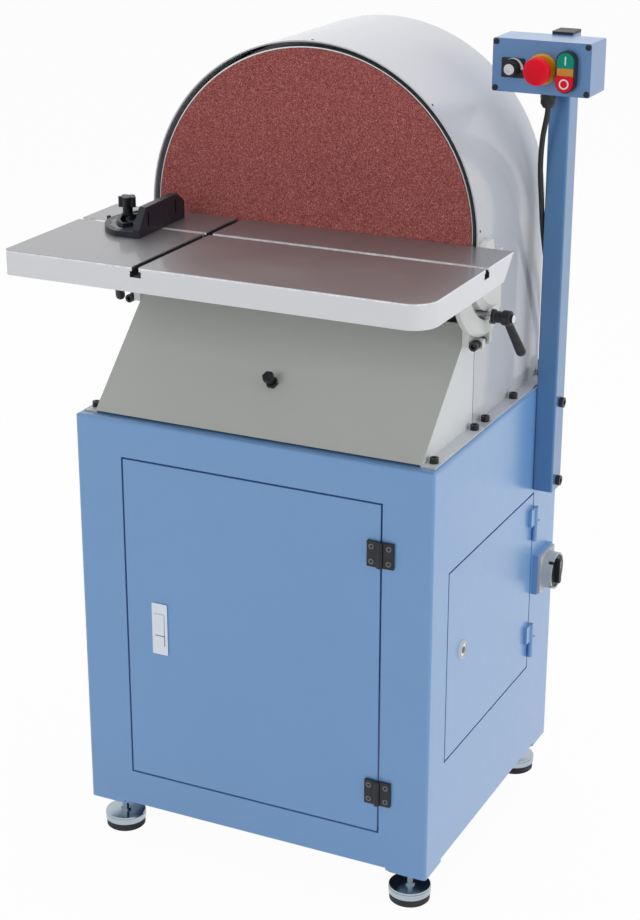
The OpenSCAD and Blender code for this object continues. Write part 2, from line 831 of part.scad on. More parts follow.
module motor_terminal_box() {
  base = axis_z + motor_r - 1;
  mid = motor_mid + motor_l / 2;
  color("#5d6268") place() difference() {
    union() {
      translate([0, mid, base + 0.3]) linear_extrude(34) round_rect(96, 84, 6);
      translate([0, mid, base + 34.3]) linear_extrude(16) round_rect(104, 92, 8);
    }
    about_disc() translate([0, 0, motor_mid - 1]) cylinder(h = motor_l + 2, r = motor_r + 0.2);
  }
}

module motor_shaft() {
  color("#b5bac0") place() about_disc() rotate_extrude() polygon([
    [0, disc_back - 8], [shaft_r, disc_back - 8], [shaft_r, motor_mid + 4],
    [rotor_r, motor_mid + 8], [rotor_r, motor_rear - 8], [rear_shaft_r, motor_rear - 4],
    [rear_shaft_r, fan_y + fan_l], [0, fan_y + fan_l]
  ]);
}

module motor_fan() {
  hub = rear_shaft_r + 8;
  tip = motor_r - 8;
  color("#3e4145") place() about_disc() difference() {
    union() {
      translate([0, 0, fan_y]) cylinder(h = fan_l, r = hub);
      translate([0, 0, fan_y]) cylinder(h = 2, r = tip);
      for (k = [0 : blade_count - 1]) rotate(360 * k / blade_count)
        translate([hub - 2, -1.5, fan_y]) cube([tip - hub, 3, fan_l]);
    }
    translate([0, 0, fan_y - 1]) cylinder(h = fan_l + 2, r = rear_shaft_r + seat_gap);
  }
}

module disc_plate() {
  front = disc_face + abrasive_t;
  rib_t = 8;
  color("#c6c9cc") place() about_disc() difference() {
    union() {
      translate([0, 0, front]) cylinder(h = disc_t * 0.6, r = disc_d / 2, $fn = 128);
      translate([0, 0, front]) linear_extrude(disc_t) ring(disc_d / 2, disc_d / 2 - 14, $fn = 128);
      translate([0, 0, front]) cylinder(h = disc_t + hub_l, r = hub_r);
      for (k = [0 : 7]) rotate(45 * k) translate([hub_r - 4, -rib_t / 2, front + 1])
        cube([disc_d / 2 - hub_r - 4, rib_t, disc_t - 1]);
    }
    translate([0, 0, disc_back - 8]) cylinder(h = hub_l + 20, r = shaft_r + seat_gap);
  }
}

module abrasive_sheet() {
  color("#8f4242") place() about_disc() translate([0, 0, disc_face]) cylinder(h = abrasive_t, r = disc_d / 2 - 2, $fn = 128);
}

module dust_port() {
  color("#c4c8cd") place() translate([dust_x, 0, dust_z]) rotate([-90, 0, 0]) difference() {
    union() {
      translate([0, 0, motor_front]) cylinder(h = dust_end - motor_front, r = dust_d / 2);
      translate([0, 0, hood_back_y]) cylinder(h = 4, r = dust_d / 2 + 10);
    }
    translate([0, 0, motor_front - 1]) cylinder(h = dust_end - motor_front + 2, r = dust_d / 2 - dust_wall);
  }
}

// Tilting table

// Puts a profile drawn about the tilt axis, in Y and Z, between two X planes
module about_tilt(from, to) {
  along_x(from, to) translate([table_back, table_top]) children();
}

// Cone about the tilt axis between two X planes
module tilt_cone(from, to, r_from, r_to) {
  translate([from, table_back, table_top]) rotate([0, 90, 0]) cylinder(h = to - from, r1 = r_from, r2 = r_to, $fn = 96);
}

// Side view of the room below the table in which the trunnion lies
module trunnion_room() {
  far = trunnion_r + 20;
  polygon([
    [-far, -table_t], [-table_t + 2, -table_t], [8, -table_t - 22], [8, -far], [-far, -far]
  ]);
}

module clamp_slot() {
  end_room = asin(slot_r / slot_in) + 0.5;
  first = 270 - clamp_angle - tilt_max - end_room;
  last = 270 - clamp_angle + end_room;
  intersection() {
    ring(clamp_r + slot_r, slot_in, $fn = 96);
    wedge(2 * clamp_r, first, last);
  }
}

module table_trunnions() {
  color("#d9dbdb") place() both_sides() difference() {
    union() {
      intersection() {
        about_tilt(trunnion_in, core_face) trunnion_room();
        union() {
          tilt_cone(trunnion_in, ring_face - ring_bevel, trunnion_r, trunnion_r);
          tilt_cone(ring_face - ring_bevel, ring_face, trunnion_r, trunnion_r - ring_bevel);
          tilt_cone(trunnion_in, ring_face, core_edge_r, core_edge_r);
          tilt_cone(ring_face, core_face, core_edge_r, core_edge_r - core_bevel);
        }
      }
      about_tilt(trunnion_in, ring_face) translate([heel_front, heel_low])
        square([heel_back - heel_front, trunnion_r * 0.2]);
    }
    about_tilt(trunnion_in - 1, core_face + 1) clamp_slot();
  }
}

module trunnion_brackets() {
  rise = 5;
  back = 74;
  low = -trunnion_r - 8;
  nose = -48;
  front_top = nose - table_t / cos(tilt_max) - 7;
  lead = hood_front - table_back + 0.3;
  clear = -table_t / cos(tilt_max) - 7;
  color("#d0d3d5") place() both_sides() difference() {
    union() {
      about_tilt(hood_r, hood_r + bracket_t) polygon([
        [nose, low], [nose, front_top], [lead, clear + lead], [lead, -10], [lead + 8, rise],
        [lead + 34, rise], [lead + 42, -16], [back, -16], [back, low + 30], [back - 34, low]
      ]);
      about_tilt(hood_r, trunnion_in + trunnion_t) translate([lug_front, heel_low])
        square([lug_back - lug_front, lug_h]);
      about_tilt(hood_r, hood_r + bracket_t) translate([lug_front, heel_low])
        square([lug_back - lug_front + 8, 20]);
    }
    about_tilt(hood_r - 1, hood_r + bracket_t + 1) translate(stud_at) circle(stud_r + seat_gap);
    translate([zero_screw_x, table_back + lug_front - 1, table_top + zero_screw_z]) rotate([-90, 0, 0])
      cylinder(h = lug_back - lug_front + 2, r = zero_screw_r + seat_gap);
  }
}

module clamp_studs() {
  color("#9da2a8") place() both_sides() {
    about_tilt(hood_r + 1, lever_out - 6) translate(stud_at) circle(stud_r);
    about_tilt(core_face + run_gap, washer_face) translate(stud_at) ring(washer_r, stud_r + seat_gap);
  }
}

// Clamp lever: a hub on the stud with a tapered arm, seen on the right side
module clamp_lever() {
  arm_r = 5.5;
  arm_angle = 28;
  translate([0, table_back, table_top]) translate([0, stud_at.x, stud_at.y]) difference() {
    union() {
      translate([lever_in, 0, 0]) rotate([0, 90, 0]) rotate_extrude() polygon([
        [0, 0], [10.5, 0], [10.5, 3], [8.5, 5], [8.5, 12], [11, 16], [11, lever_hub_l - 2],
        [9, lever_hub_l], [6.5, lever_hub_l], [6.5, lever_hub_l + end_screw_t], [0, lever_hub_l + end_screw_t]
      ]);
      translate([lever_arm_x, 0, 0]) rotate([180 + arm_angle, 0, 0]) rotate([0, lever_splay, 0]) {
        cylinder(h = lever_l - lever_grip_r, r1 = arm_r, r2 = lever_grip_r);
        translate([0, 0, lever_l - lever_grip_r]) sphere(lever_grip_r);
      }
    }
    translate([lever_in - 1, 0, 0]) rotate([0, 90, 0]) cylinder(h = lever_hub_l - 4, r = stud_r + pin_gap);
  }
}

module clamp_lever_right() {
  color("#2c2d33") place() clamp_lever();
}

module clamp_lever_left() {
  color("#2c2d33") place() mirror([1, 0, 0]) clamp_lever();
}

module table_outline(inset, rear) {
  left = table_left + inset;
  right = table_right - inset;
  front = table_front + inset;
  left_r = max(table_left_r - inset, 2);
  right_r = table_corner_r - inset;
  translate([left + left_r, front]) square([right - right_r - left - left_r, rear - front]);
  translate([left, front + left_r]) square([left_r + 1, rear - front - left_r]);
  translate([right - right_r - 1, front + right_r]) square([right_r + 1, rear - front - right_r]);
  translate([left + left_r, front + left_r]) circle(left_r);
  translate([right - right_r, front + right_r]) circle(right_r);
}

// Section of a T-slot below the table's top, centred on zero
module slot_section() {
  translate([-slot_w / 2, table_top - slot_neck - 0.5]) square([slot_w, slot_neck + 2]);
  translate([-slot_wide / 2, table_top - slot_neck - slot_wide_h]) square([slot_wide, slot_wide_h]);
}

module table() {
  plate_t = 13;
  skirt = 12;
  land = 2;
  rib_w = slot_wide + 20;
  rib_t = slot_neck + slot_wide_h + 10;
  base = table_top - table_t;
  rear_rib = table_back - table_t - 14;
  low = table_top - rib_t;
  high = table_top - 1;
  right_rib_x = 100;
  right_rib_w = 12;
  lug_l = 90;
  lug_in = hood_r - 4;
  color("#b3b2b4") place() difference() {
    union() {
      translate([0, 0, table_top - plate_t]) linear_extrude(plate_t) table_outline(0, table_back);
      translate([0, 0, base]) linear_extrude(table_t) difference() {
        table_outline(0, table_back);
        table_outline(skirt, rear_rib);
      }
      block([table_left + 2, bar_y - rib_w / 2, low], [table_right - 2, bar_y + rib_w / 2, high]);
      block([-long_slot - rib_w / 2, table_front + 2, low], [-long_slot + rib_w / 2, rear_rib + 1, high]);
      block([right_rib_x - right_rib_w / 2, table_front + 2, low], [right_rib_x + right_rib_w / 2, rear_rib + 1, high]);
      block([table_left + 1, rear_rib - lug_l, base], [-lug_in, rear_rib + 1, high]);
      block([lug_in, rear_rib - lug_l, base], [table_right - 1, rear_rib + 1, high]);
      translate([0, stop_pad_y, base]) cylinder(h = table_t - 1, r = 24);
    }
    along_y(table_front - 1, table_back + 1) translate([-long_slot, 0]) slot_section();
    along_x(table_left - 1, table_right + 1) translate([bar_y, 0]) slot_section();
    along_x(table_left - 1, table_right + 1) polygon([
      [table_back - table_t + land, base], [table_back, table_top - land], [table_back + 5, table_top - land],
      [table_back + 5, base - 5], [table_back - table_t + land, base - 5]
    ]);
  }
}

// Mitre gauge

module mitre_bar() {
  left = -mitre_x - bar_tail;
  pointer_h = 9;
  neck_low = table_top - slot_neck - 0.3;
  color("#a9adb2") place() union() {
    block([left, bar_y - slot_w / 2 + bar_clear, neck_low], [left + bar_l, bar_y + slot_w / 2 - bar_clear, table_top - 0.4]);
    block([left, bar_y - slot_wide / 2 + bar_clear, table_top - slot_neck - slot_wide_h + bar_clear],
      [left + bar_l, bar_y + slot_wide / 2 - bar_clear, table_top - slot_neck - bar_clear]);
    translate([-mitre_x, bar_y, table_top - 2]) cylinder(h = pivot_h + 2, r = pivot_r);
    translate([-mitre_x - mitre_stud_back, bar_y, table_top - 2]) cylinder(h = 36, r = mitre_stud_r);
    block([-mitre_x - mitre_r - 8, bar_y - 2.5, table_top - 1], [-mitre_x - mitre_r - 4, bar_y + 2.5, table_top + pointer_h]);
  }
}

// Half-round base with a fence across it, turned about the pivot
module mitre_head() {
  face = 8;
  slot_half = 54;
  boss_h = 6;
  fence_x = face - fence_t;
  end_slope = 22;
  color("#2b2c31") place() translate([-mitre_x, bar_y, mitre_base]) rotate(mitre_angle) difference() {
    union() {
      linear_extrude(mitre_t) intersection() {
        circle(mitre_r, $fn = 96);
        translate([-mitre_r - 1, -mitre_w / 2]) square([mitre_r + face + 1, mitre_w]);
      }
      linear_extrude(mitre_t + boss_h) intersection() {
        ring(mitre_stud_back + 9, mitre_stud_back - 9);
        wedge(2 * mitre_r, 180 - slot_half - 6, 180 + slot_half + 6);
      }
      translate([fence_x, 0, 0]) rotate([90, 0, 90]) linear_extrude(fence_t) polygon([
        [-mitre_w / 2, 0], [mitre_w / 2, 0], [mitre_w / 2, fence_h - 15], [mitre_w / 2 - end_slope, fence_h],
        [end_slope - mitre_w / 2, fence_h], [-mitre_w / 2, mitre_t + 4]
      ]);
    }
    translate([0, 0, -1]) cylinder(h = pivot_h + 1.5, r = pivot_r + pin_gap);
    translate([0, 0, -1]) linear_extrude(mitre_t + boss_h + 2) intersection() {
      ring(mitre_stud_back + 4, mitre_stud_back - 4);
      wedge(2 * mitre_r, 180 - slot_half, 180 + slot_half);
    }
    for (s = [-1, 1]) translate([fence_x - 1, s * 42, (mitre_t + fence_h) / 2 - 2]) rotate([90, 0, 90])
      linear_extrude(fence_t + 2) stadium(4, 22);
  }
}

module mitre_knob() {
  base = mitre_base + mitre_t + 6 + run_gap;
  color("#232427") place() translate([-mitre_x - mitre_stud_back, bar_y, base]) difference() {
    union() {
      cylinder(h = 1.5, r = 9.5);
      cylinder(h = 14, r = 7.5);
      translate([0, 0, 12]) linear_extrude(15) union() {
        circle(10);
        for (k = [0 : 4]) rotate(72 * k) translate([9, 0]) circle(4.5);
      }
    }
    translate([0, 0, -1]) cylinder(h = 23, r = mitre_stud_r + pin_gap);
  }
}

// Front door with its hinges and latch

module front_door() {
  color("#7fa2c8") place() difference() {
    translate([0, 0, door_base + door_h / 2]) union() {
      along_y(0, sheet) square([door_w, door_h], center = true);
      along_y(0, door_fold) frame(door_w - 2 * sheet, door_h - 2 * sheet, sheet);
      along_y(door_fold - sheet, door_fold) frame(door_w - 30, door_h - 30, 15);
      along_y(sheet - 0.5, door_fold - 4) translate([0, -80]) square([door_w - 4, 40], center = true);
    }
    along_y(sheet, door_fold - 4 - sheet) translate([0, door_base + door_h / 2 - 80])
      square([door_w - 6, 40 - 2 * sheet], center = true);
    along_y(-1, door_fold + 1) translate([latch_x, latch_z]) square([latch_w - 3, latch_h - 8], center = true);
  }
}

// Knuckle of a front hinge between two heights, with its leaf on one side
module hinge_leaf(side, z, spans) {
  leaf_gap = 0.4;
  translate([hinge_x, 0, z]) {
    for (span = spans) translate([0, -hinge_out, span[0]]) cylinder(h = span[1] - span[0], r = hinge_r);
    block([side > 0 ? leaf_gap + hinge_r : -hinge_leaf_w, -hinge_out, -hinge_h / 2],
      [side > 0 ? hinge_leaf_w : -leaf_gap - hinge_r, 0, hinge_h / 2]);
    for (span = spans)
      block([side > 0 ? 0 : -hinge_r - 1, -hinge_out, span[0]], [side > 0 ? hinge_r + 1 : 0, -0.4, span[1]]);
  }
}

module front_hinge_leaves() {
  color("#26272b") place() for (z = hinge_levels) {
    hinge_leaf(1, z, [[-hinge_h / 2, -hinge_third - run_gap], [hinge_third + run_gap, hinge_h / 2]]);
    translate([hinge_x, -hinge_out, z - hinge_h / 2]) cylinder(h = hinge_h, r = hinge_pin_r);
  }
}

module door_hinge_leaves() {
  color("#2b2c30") place() for (z = hinge_levels) difference() {
    hinge_leaf(-1, z, [[-hinge_third, hinge_third]]);
    translate([hinge_x, -hinge_out, z - hinge_h]) cylinder(h = 2 * hinge_h, r = hinge_pin_r + pin_gap);
  }
}

module latch_housing() {
  color("#b9bdc1") place() difference() {
    union() {
      along_y(-latch_plate_t, 0) translate([latch_x, latch_z]) round_rect(latch_w, latch_h, 2);
      along_y(-0.5, latch_tub_d) translate([latch_x, latch_z]) square([latch_w - 3.6, latch_h - 8.6], center = true);
    }
    along_y(-latch_plate_t - 1, latch_tub_d - 2) translate([latch_x, paddle_top + 0.3 - (paddle_l + latch_button_h + 1.2) / 2])
      square([latch_in_w, paddle_l + latch_button_h + 1.2], center = true);
    along_x(latch_x - 11, latch_x + 11) translate(paddle_axis) circle(1.5 + pin_gap);
  }
}

module latch_paddle() {
  w = latch_in_w - 2 * run_gap;
  color("#d8dbde") place() {
    along_x(latch_x - w / 2, latch_x + w / 2) union() {
      translate(paddle_axis) circle(paddle_r);
      translate([-4, paddle_top - paddle_l]) square([5, paddle_l - paddle_r]);
      translate([0, paddle_axis.y - 2]) square([8, 4]);
    }
    along_x(latch_x - 10.8, latch_x + 10.8) translate(paddle_axis) circle(1.5);
  }
}

module latch_button() {
  w = latch_in_w - 2 * run_gap;
  top = paddle_top - paddle_l - 0.6;
  color("#c3c7cb") place() along_y(-4.5, 8) translate([latch_x, top - latch_button_h / 2])
    round_rect(w, latch_button_h - 0.6, 2);
}

// Side door with its hinges and lock

module side_door() {
  face = cab_w / 2;
  mid = [side_door_front + side_door_w / 2, side_door_base + side_door_h / 2];
  color("#a3b4d6") place() difference() {
    union() {
      along_x(face - sheet, face) translate(mid) square([side_door_w, side_door_h], center = true);
      along_x(face - side_fold, face) translate(mid) frame(side_door_w - 2 * sheet, side_door_h - 2 * sheet, sheet);
      for (z = side_hinge_levels) {
        translate([side_hinge_x, side_hinge_y, z + run_gap]) cylinder(h = side_hinge_h, r = side_hinge_r);
        block([face - 0.5, side_hinge_y - side_leaf_w, z + run_gap], [side_hinge_x + 1, side_hinge_y - 2, z + side_hinge_h]);
      }
    }
    for (z = side_hinge_levels) translate([side_hinge_x, side_hinge_y, z - 1])
      cylinder(h = 22.5, r = 2.4 + pin_gap);
    facing_right(face - 20, lock_y, lock_z) cylinder(h = 40, r = lock_r + seat_gap);
  }
}

module side_hinge_pins() {
  face = cab_w / 2;
  color("#9aaed0") place() for (z = side_hinge_levels) {
    translate([side_hinge_x, side_hinge_y, z - side_hinge_h]) cylinder(h = side_hinge_h, r = side_hinge_r);
    translate([side_hinge_x, side_hinge_y, z - 1]) cylinder(h = 21, r = 2.4);
    block([face, side_hinge_y + 2, z - side_hinge_h], [side_hinge_x + 1, side_hinge_y + side_leaf_w, z]);
  }
}

module lock_body() {
  face = cab_w / 2;
  color("#c3c6ca") place() difference() {
    union() {
      facing_right(face, lock_y, lock_z) cylinder(h = 2.5, r = lock_r + 2.5);
      facing_right(face - side_lip_d - 3, lock_y, lock_z) cylinder(h = side_lip_d + 4, r = lock_r);
    }
    facing_right(face - 40, lock_y, lock_z) cylinder(h = 60, r = core_r + pin_gap);
  }
}

module lock_core() {
  face = cab_w / 2;
  cam_x = face - side_lip_d - 3 - run_gap;
  cam_w = 16;
  color("#aeb2b6") place() difference() {
    union() {
      facing_right(cam_x - 3, lock_y, lock_z) cylinder(h = face + 3 - cam_x + 3, r = core_r);
      along_x(cam_x - 3, cam_x) translate([lock_y, lock_z - cam_l / 2 + cam_w / 2]) stadium(cam_w, cam_l);
    }
    along_x(face + 1, face + 5) translate([lock_y, lock_z]) square([1.6, 7], center = true);
  }
}

// Control post and box

module control_post() {
  color("#7695c0") place() difference() {
    translate([post_x, post_y, post_base]) linear_extrude(post_top - post_base) difference() {
      round_rect(post_w, post_d, 3);
      square([post_w - 2 * post_wall, post_d - 2 * post_wall], center = true);
    }
    for (z = post_bolt_levels()) facing_right(cab_w / 2 - 1, post_y, z) cylinder(h = post_w + 2, r = 5 + seat_gap);
  }
}

module post_cap() {
  color("#222326") place() translate([post_x, post_y, post_top]) union() {
    linear_extrude(4) round_rect(post_w, post_d, 3);
    translate([0, 0, -12]) linear_extrude(13)
      square([post_w - 2 * post_wall - 0.1, post_d - 2 * post_wall - 0.1], center = true);
  }
}

module control_box() {
  color("#4f7ba6") place() difference() {
    along_y(lid_back, box_back) translate([box_x, box_z]) round_rect(box_w, box_h, 3);
    along_y(lid_back - 1, box_back - box_wall) translate([box_x, box_z])
      square([box_w - 22, box_h - 2 * box_wall], center = true);
    for (sx = [-1, 1], sz = [-1, 1])
      facing_front(box_x + sx * (box_w / 2 - lid_screw_in), lid_back + 8, box_z + sz * (box_h / 2 - lid_screw_in))
        cylinder(h = 10, r = 1.9 + seat_gap);
    translate([box_gland.x, box_gland.y, box_z - box_h / 2 - 1]) cylinder(h = box_wall + 2, r = gland_r - 3);
  }
}

module control_lid() {
  color("#5583ae") place() difference() {
    along_y(box_front, lid_back) translate([box_x, box_z]) round_rect(box_w, box_h, 3);
    along_y(box_front + 4, lid_back + 1) translate([box_x, box_z]) square([box_w - 22, box_h - 8], center = true);
    for (sx = [-1, 1], sz = [-1, 1])
      facing_front(box_x + sx * (box_w / 2 - lid_screw_in), lid_back + 1, box_z + sz * (box_h / 2 - lid_screw_in))
        cylinder(h = lid_d + 2, r = 1.9 + seat_gap);
    facing_front(dial_x, lid_back, dial_z) cylinder(h = lid_d + 1, r = 5);
    facing_front(estop_x, lid_back, estop_z) cylinder(h = lid_d + 1, r = 11);
    along_y(box_front - 1, lid_back) translate([buttons_x, buttons_z]) square([14, 46], center = true);
  }
}

module dial_plate() {
  color("#1f2023") place() difference() {
    along_y(box_front - dial_t, box_front) translate([dial_x, dial_z]) round_rect(dial_w, dial_h, 2);
    facing_front(dial_x, box_front + 1, dial_z) cylinder(h = dial_t + 2, r = 3 + pin_gap);
  }
}

module speed_knob() {
  base = box_front - dial_t - run_gap;
  color("#2a2b2e") place() {
    facing_front(dial_x, base + 12, dial_z) cylinder(h = 13, r = 3);
    facing_front(dial_x, base, dial_z) {
      cylinder(h = 3, r = knob_r);
      linear_extrude(knob_l - 2) difference() {
        circle(knob_r - 1);
        for (k = [0 : 11]) rotate(30 * k) translate([knob_r - 0.4, 0]) circle(1.5);
      }
      cylinder(h = knob_l, r = knob_r - 3);
    }
  }
}

module estop_collar() {
  color("#e3a51c") place() facing_front(estop_x, box_front, estop_z) difference() {
    union() {
      rotate_extrude() polygon([
        [0, 0], [collar_d / 2, 0], [collar_d / 2, collar_t - 2], [collar_d / 2 - 2, collar_t], [0, collar_t]
      ]);
      translate([0, 0, -lid_d]) cylinder(h = lid_d + 1, r = 11 - seat_gap);
      cylinder(h = collar_t + 4, r = 14);
    }
    translate([0, 0, -lid_d - 1]) cylinder(h = 60, r = estop_stem_r + pin_gap);
  }
}

module estop_stem() {
  color("#b23434") place() {
    facing_front(estop_x, box_front + lid_d - 2, estop_z) cylinder(h = box_front + lid_d - 2 - estop_base, r = estop_stem_r);
    facing_front(estop_x, estop_base + 1, estop_z) cylinder(h = 12, r = 4);
  }
}

module estop_head() {
  r = estop_d / 2;
  color("#d23a3a") place() facing_front(estop_x, estop_base - run_gap, estop_z) difference() {
    rotate_extrude() polygon([
      [0, 0], [r - 5, 0], [r - 1, 4], [r, 7], [r, 11], [r - 2, 15], [r - 7, 18], [r - 13, 19.5], [0, estop_head_l]
    ]);
    translate([0, 0, -1]) cylinder(h = 12.5, r = 4 + pin_gap);
    for (k = [0 : 2]) rotate(120 * k) translate([r + 2.4, 0, -1]) cylinder(h = 14, r = 4);
  }
}

// Half of the double button, round at its outer end: up is 1 for the upper half and -1 for the lower
module button_outline(up, w, l) {
  intersection() {
    stadium(w, l);
    translate([-w, up > 0 ? lens_h / 2 + run_gap : -l]) square([2 * w, l - lens_h / 2 - run_gap]);
  }
}

module button_frame() {
  color("#202125") place() difference() {
    along_y(box_front - button_body_t, box_front) translate([buttons_x, buttons_z])
      stadium(button_w + 2 * button_rim, buttons_l + 2 * button_rim);
    along_y(box_front - button_body_t - 1, box_front + 1) translate([buttons_x, buttons_z])
      stadium(button_w + 2 * run_gap, buttons_l + 2 * run_gap);
  }
}

module indicator_lens() {
  color("#e0a03a") place() along_y(box_front - button_body_t - 0.8, box_front) translate([buttons_x, buttons_z])
    square([button_w - 2 * run_gap, lens_h - 2 * seat_gap], center = true);
}

module push_button(up, proud) {
  front = box_front - button_body_t - proud;
  back = box_front - button_travel - 1;
  stem_z = buttons_z + up * buttons_l / 4;
  along_y(front, back) translate([buttons_x, buttons_z]) button_outline(up, button_w, buttons_l);
  facing_front(buttons_x, box_front + 10, stem_z + up * 2) cylinder(h = 12 + button_travel, r = 4);
}

module start_button() {
  color("#2f9c5a") place() push_button(1, 1);
}

module stop_button() {
  color("#c93030") place() push_button(-1, 4);
}

// Gland standing on local Z: hexagon body, domed nut and a tail through the sheet
module gland(tail) {
  difference() {
    union() {
      cylinder(h = gland_l * 0.45, r = gland_r, $fn = 6);
      translate([0, 0, gland_l * 0.45]) rotate_extrude() polygon([
        [0, 0], [gland_r * 0.9, 0], [gland_r * 0.9, gland_l * 0.3], [gland_r * 0.6, gland_l * 0.55], [0, gland_l * 0.55]
      ]);
      translate([0, 0, -tail]) cylinder(h = tail + 1, r = gland_r - 3 - seat_gap);
    }
    translate([0, 0, -tail - 1]) cylinder(h = gland_l + tail + 2, r = cable_r + seat_gap);
  }
}

module cable_glands() {
  color("#1d1e21") place() {
    translate([box_gland.x, box_gland.y, box_z - box_h / 2]) rotate([180, 0, 0]) gland(box_wall + 4);
    translate([top_gland.x, top_gland.y, cab_top]) gland(sheet + 6);
    translate([back_gland.x, cab_d, back_gland.y]) rotate([-90, 0, 0]) gland(sheet + 6);
  }
}

// Cable from the control box to the cabinet, swept along a smooth curve through its points
function spline_at(p, i, t) =
  let (a = p[max(i - 1, 0)], b = p[i], c = p[i + 1], d = p[min(i + 2, len(p) - 1)])
  0.5 * (2 * b + (c - a) * t + (2 * a - 5 * b + 4 * c - d) * t * t + (3 * b - a - 3 * c + d) * t * t * t);
function unit(v) = v / norm(v);

module tube(points, r, sides) {
  last = len(points) - 1;
  rings = [for (i = [0 : last])
    let (
      dir = unit(points[min(i + 1, last)] - points[max(i - 1, 0)]),
      u = unit(cross(dir, [0, 1, 0])),
      v = cross(dir, u)
    )
    for (k = [0 : sides - 1]) points[i] + r * (cos(360 * k / sides) * u + sin(360 * k / sides) * v)];
  walls = [for (i = [0 : last - 1], k = [0 : sides - 1])
    let (a = i * sides + k, b = i * sides + (k + 1) % sides) [a, b, b + sides, a + sides]];
  polyhedron(rings, concat(walls, [[for (k = [sides - 1 : -1 : 0]) k], [for (k = [0 : sides - 1]) last * sides + k]]));
}

module control_cable() {
  spans = len(cable_pts) - 2;
  path = concat([for (i = [0 : spans], j = [0 : cable_steps - 1]) spline_at(cable_pts, i, j / cable_steps)],
    [cable_pts[len(cable_pts) - 1]]);
  color("#26262a") place() tube(path, cable_r, cable_sides);
}

// Main switch

module switch_box() {
  side = switch_side + 3;
  color("#6f92bb") place() difference() {
    along_x(cab_w / 2, cab_w / 2 + switch_box_d) translate([switch_y, switch_z]) round_rect(side, side, 2);
    facing_right(cab_w / 2 - 1, switch_y, switch_z) cylinder(h = switch_box_d + 2, r = 12 + seat_gap);
  }
}

module switch_plate() {
  face = cab_w / 2 + switch_box_d;
  color("#9a9ea3") place() difference() {
    union() {
      along_x(face, face + switch_plate_t) translate([switch_y, switch_z]) round_rect(switch_side, switch_side, 4);
      facing_right(face + 1, switch_y, switch_z) cylinder(h = switch_plate_t - 1 + switch_ring_l, r = switch_ring_r);
      facing_right(cab_w / 2 - 30, switch_y, switch_z) cylinder(h = switch_box_d + 31, r = 12);
    }
    facing_right(switch_face, switch_y, switch_z) cylinder(h = switch_ring_l + 1, r = switch_ring_r - 3);
    facing_right(cab_w / 2 - 20, switch_y, switch_z) cylinder(h = 60, r = 4 + pin_gap);
    for (k = [0 : 3]) facing_right(switch_face + switch_ring_l - 8, switch_y, switch_z) rotate(45 + 90 * k)
      translate([switch_ring_r - 5, -3, 0]) cube([8, 6, 10]);
  }
}

module switch_knob() {
  r = switch_ring_r - 3 - run_gap;
  disc_l = switch_ring_l - 2;
  handle_out = 6;
  color("#1e1f22") place() union() {
    facing_right(switch_face + run_gap, switch_y, switch_z) cylinder(h = disc_l, r = r);
    facing_right(cab_w / 2 - 8, switch_y, switch_z) cylinder(h = switch_face - cab_w / 2 + 9, r = 4);
    along_x(switch_face + disc_l - 1, switch_face + switch_ring_l + handle_out) translate([switch_y, switch_z]) stadium(10, 42);
  }
}

cabinet_shell();
corner_plates();
levelling_feet();
foot_pads();
foot_nuts();
electrics_plate();
inverter();
hood_shell();
hood_back();
lower_cover();
cap_screws();
stop_bolts();
bulkhead();
motor_housing();
motor_end_bells();
motor_fan_cover();
motor_terminal_box();
motor_bearings();
dust_port();
trunnion_brackets();
clamp_studs();
control_post();
post_cap();
control_box();
control_lid();
dial_plate();
estop_collar();
button_frame();
indicator_lens();
cable_glands();
control_cable();
switch_box();
switch_plate();
front_hinge_leaves();
side_hinge_pins();
motor_shaft();
motor_fan();
disc_plate();
abrasive_sheet();
table();
table_trunnions();
clamp_lever_left();
clamp_lever_right();
mitre_bar();
mitre_head();
mitre_knob();
front_door();
door_hinge_leaves();
latch_housing();
latch_paddle();
latch_button();
side_door();
lock_body();
lock_core();
speed_knob();
estop_stem();
estop_head();
start_button();
stop_button();
switch_knob();
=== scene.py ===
"""Looks of a floor-standing disc sander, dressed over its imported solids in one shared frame, in metres.

X runs to the operator's right, Y from the front to the back and Z up. Each sub-assembly is a class that finds
its places from the solids, adds the small pieces that the solids leave out, and dresses all of them.
"""

import logging
import math
from dataclasses import dataclass
from enum import Enum
from typing import Any, ClassVar

import bmesh
import bpy
import numpy as np
from mathutils import Matrix, Vector


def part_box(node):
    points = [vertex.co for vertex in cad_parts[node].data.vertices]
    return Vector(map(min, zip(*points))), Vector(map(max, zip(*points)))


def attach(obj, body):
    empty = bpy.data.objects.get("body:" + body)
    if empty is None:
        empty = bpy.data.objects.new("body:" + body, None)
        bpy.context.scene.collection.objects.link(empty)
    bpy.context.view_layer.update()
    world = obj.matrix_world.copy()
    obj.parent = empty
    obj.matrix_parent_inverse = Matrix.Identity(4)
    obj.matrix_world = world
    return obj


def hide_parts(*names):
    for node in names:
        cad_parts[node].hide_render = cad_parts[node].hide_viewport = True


logging.basicConfig(level=logging.INFO, format="%(message)s")
LOG = logging.getLogger("sander")

Colour = tuple[float, float, float]
Point = tuple[float, float, float]
Span = tuple[float, float]
Mesh = tuple[np.ndarray, np.ndarray]

# Limits and counts that several pieces share
WHITE = (1.0, 1.0, 1.0, 1.0)
WHITEST = 0.95
SQUARE_ON = (0.4, 0.6)
MERGE_DISTANCE = 1e-6
FEW_SIDES = 24
ROUND_SIDES = 28
FINE_SIDES = 40
PRINT_EDGE = 0.05


def srgb(red: int, green: int, blue: int) -> Colour:
    """Linear colour of an sRGB colour.

    Args:
        red: Red from 0 to 255.
        green: Green from 0 to 255.
        blue: Blue from 0 to 255.

    Returns:
        The linear red, green and blue, each from 0 to 1.
    """
    parts = np.array([red, green, blue]) / 255
    linear = np.where(parts <= 0.04045, parts / 12.92, ((parts + 0.055) / 1.055) ** 2.4)
    return tuple(float(part) for part in linear)


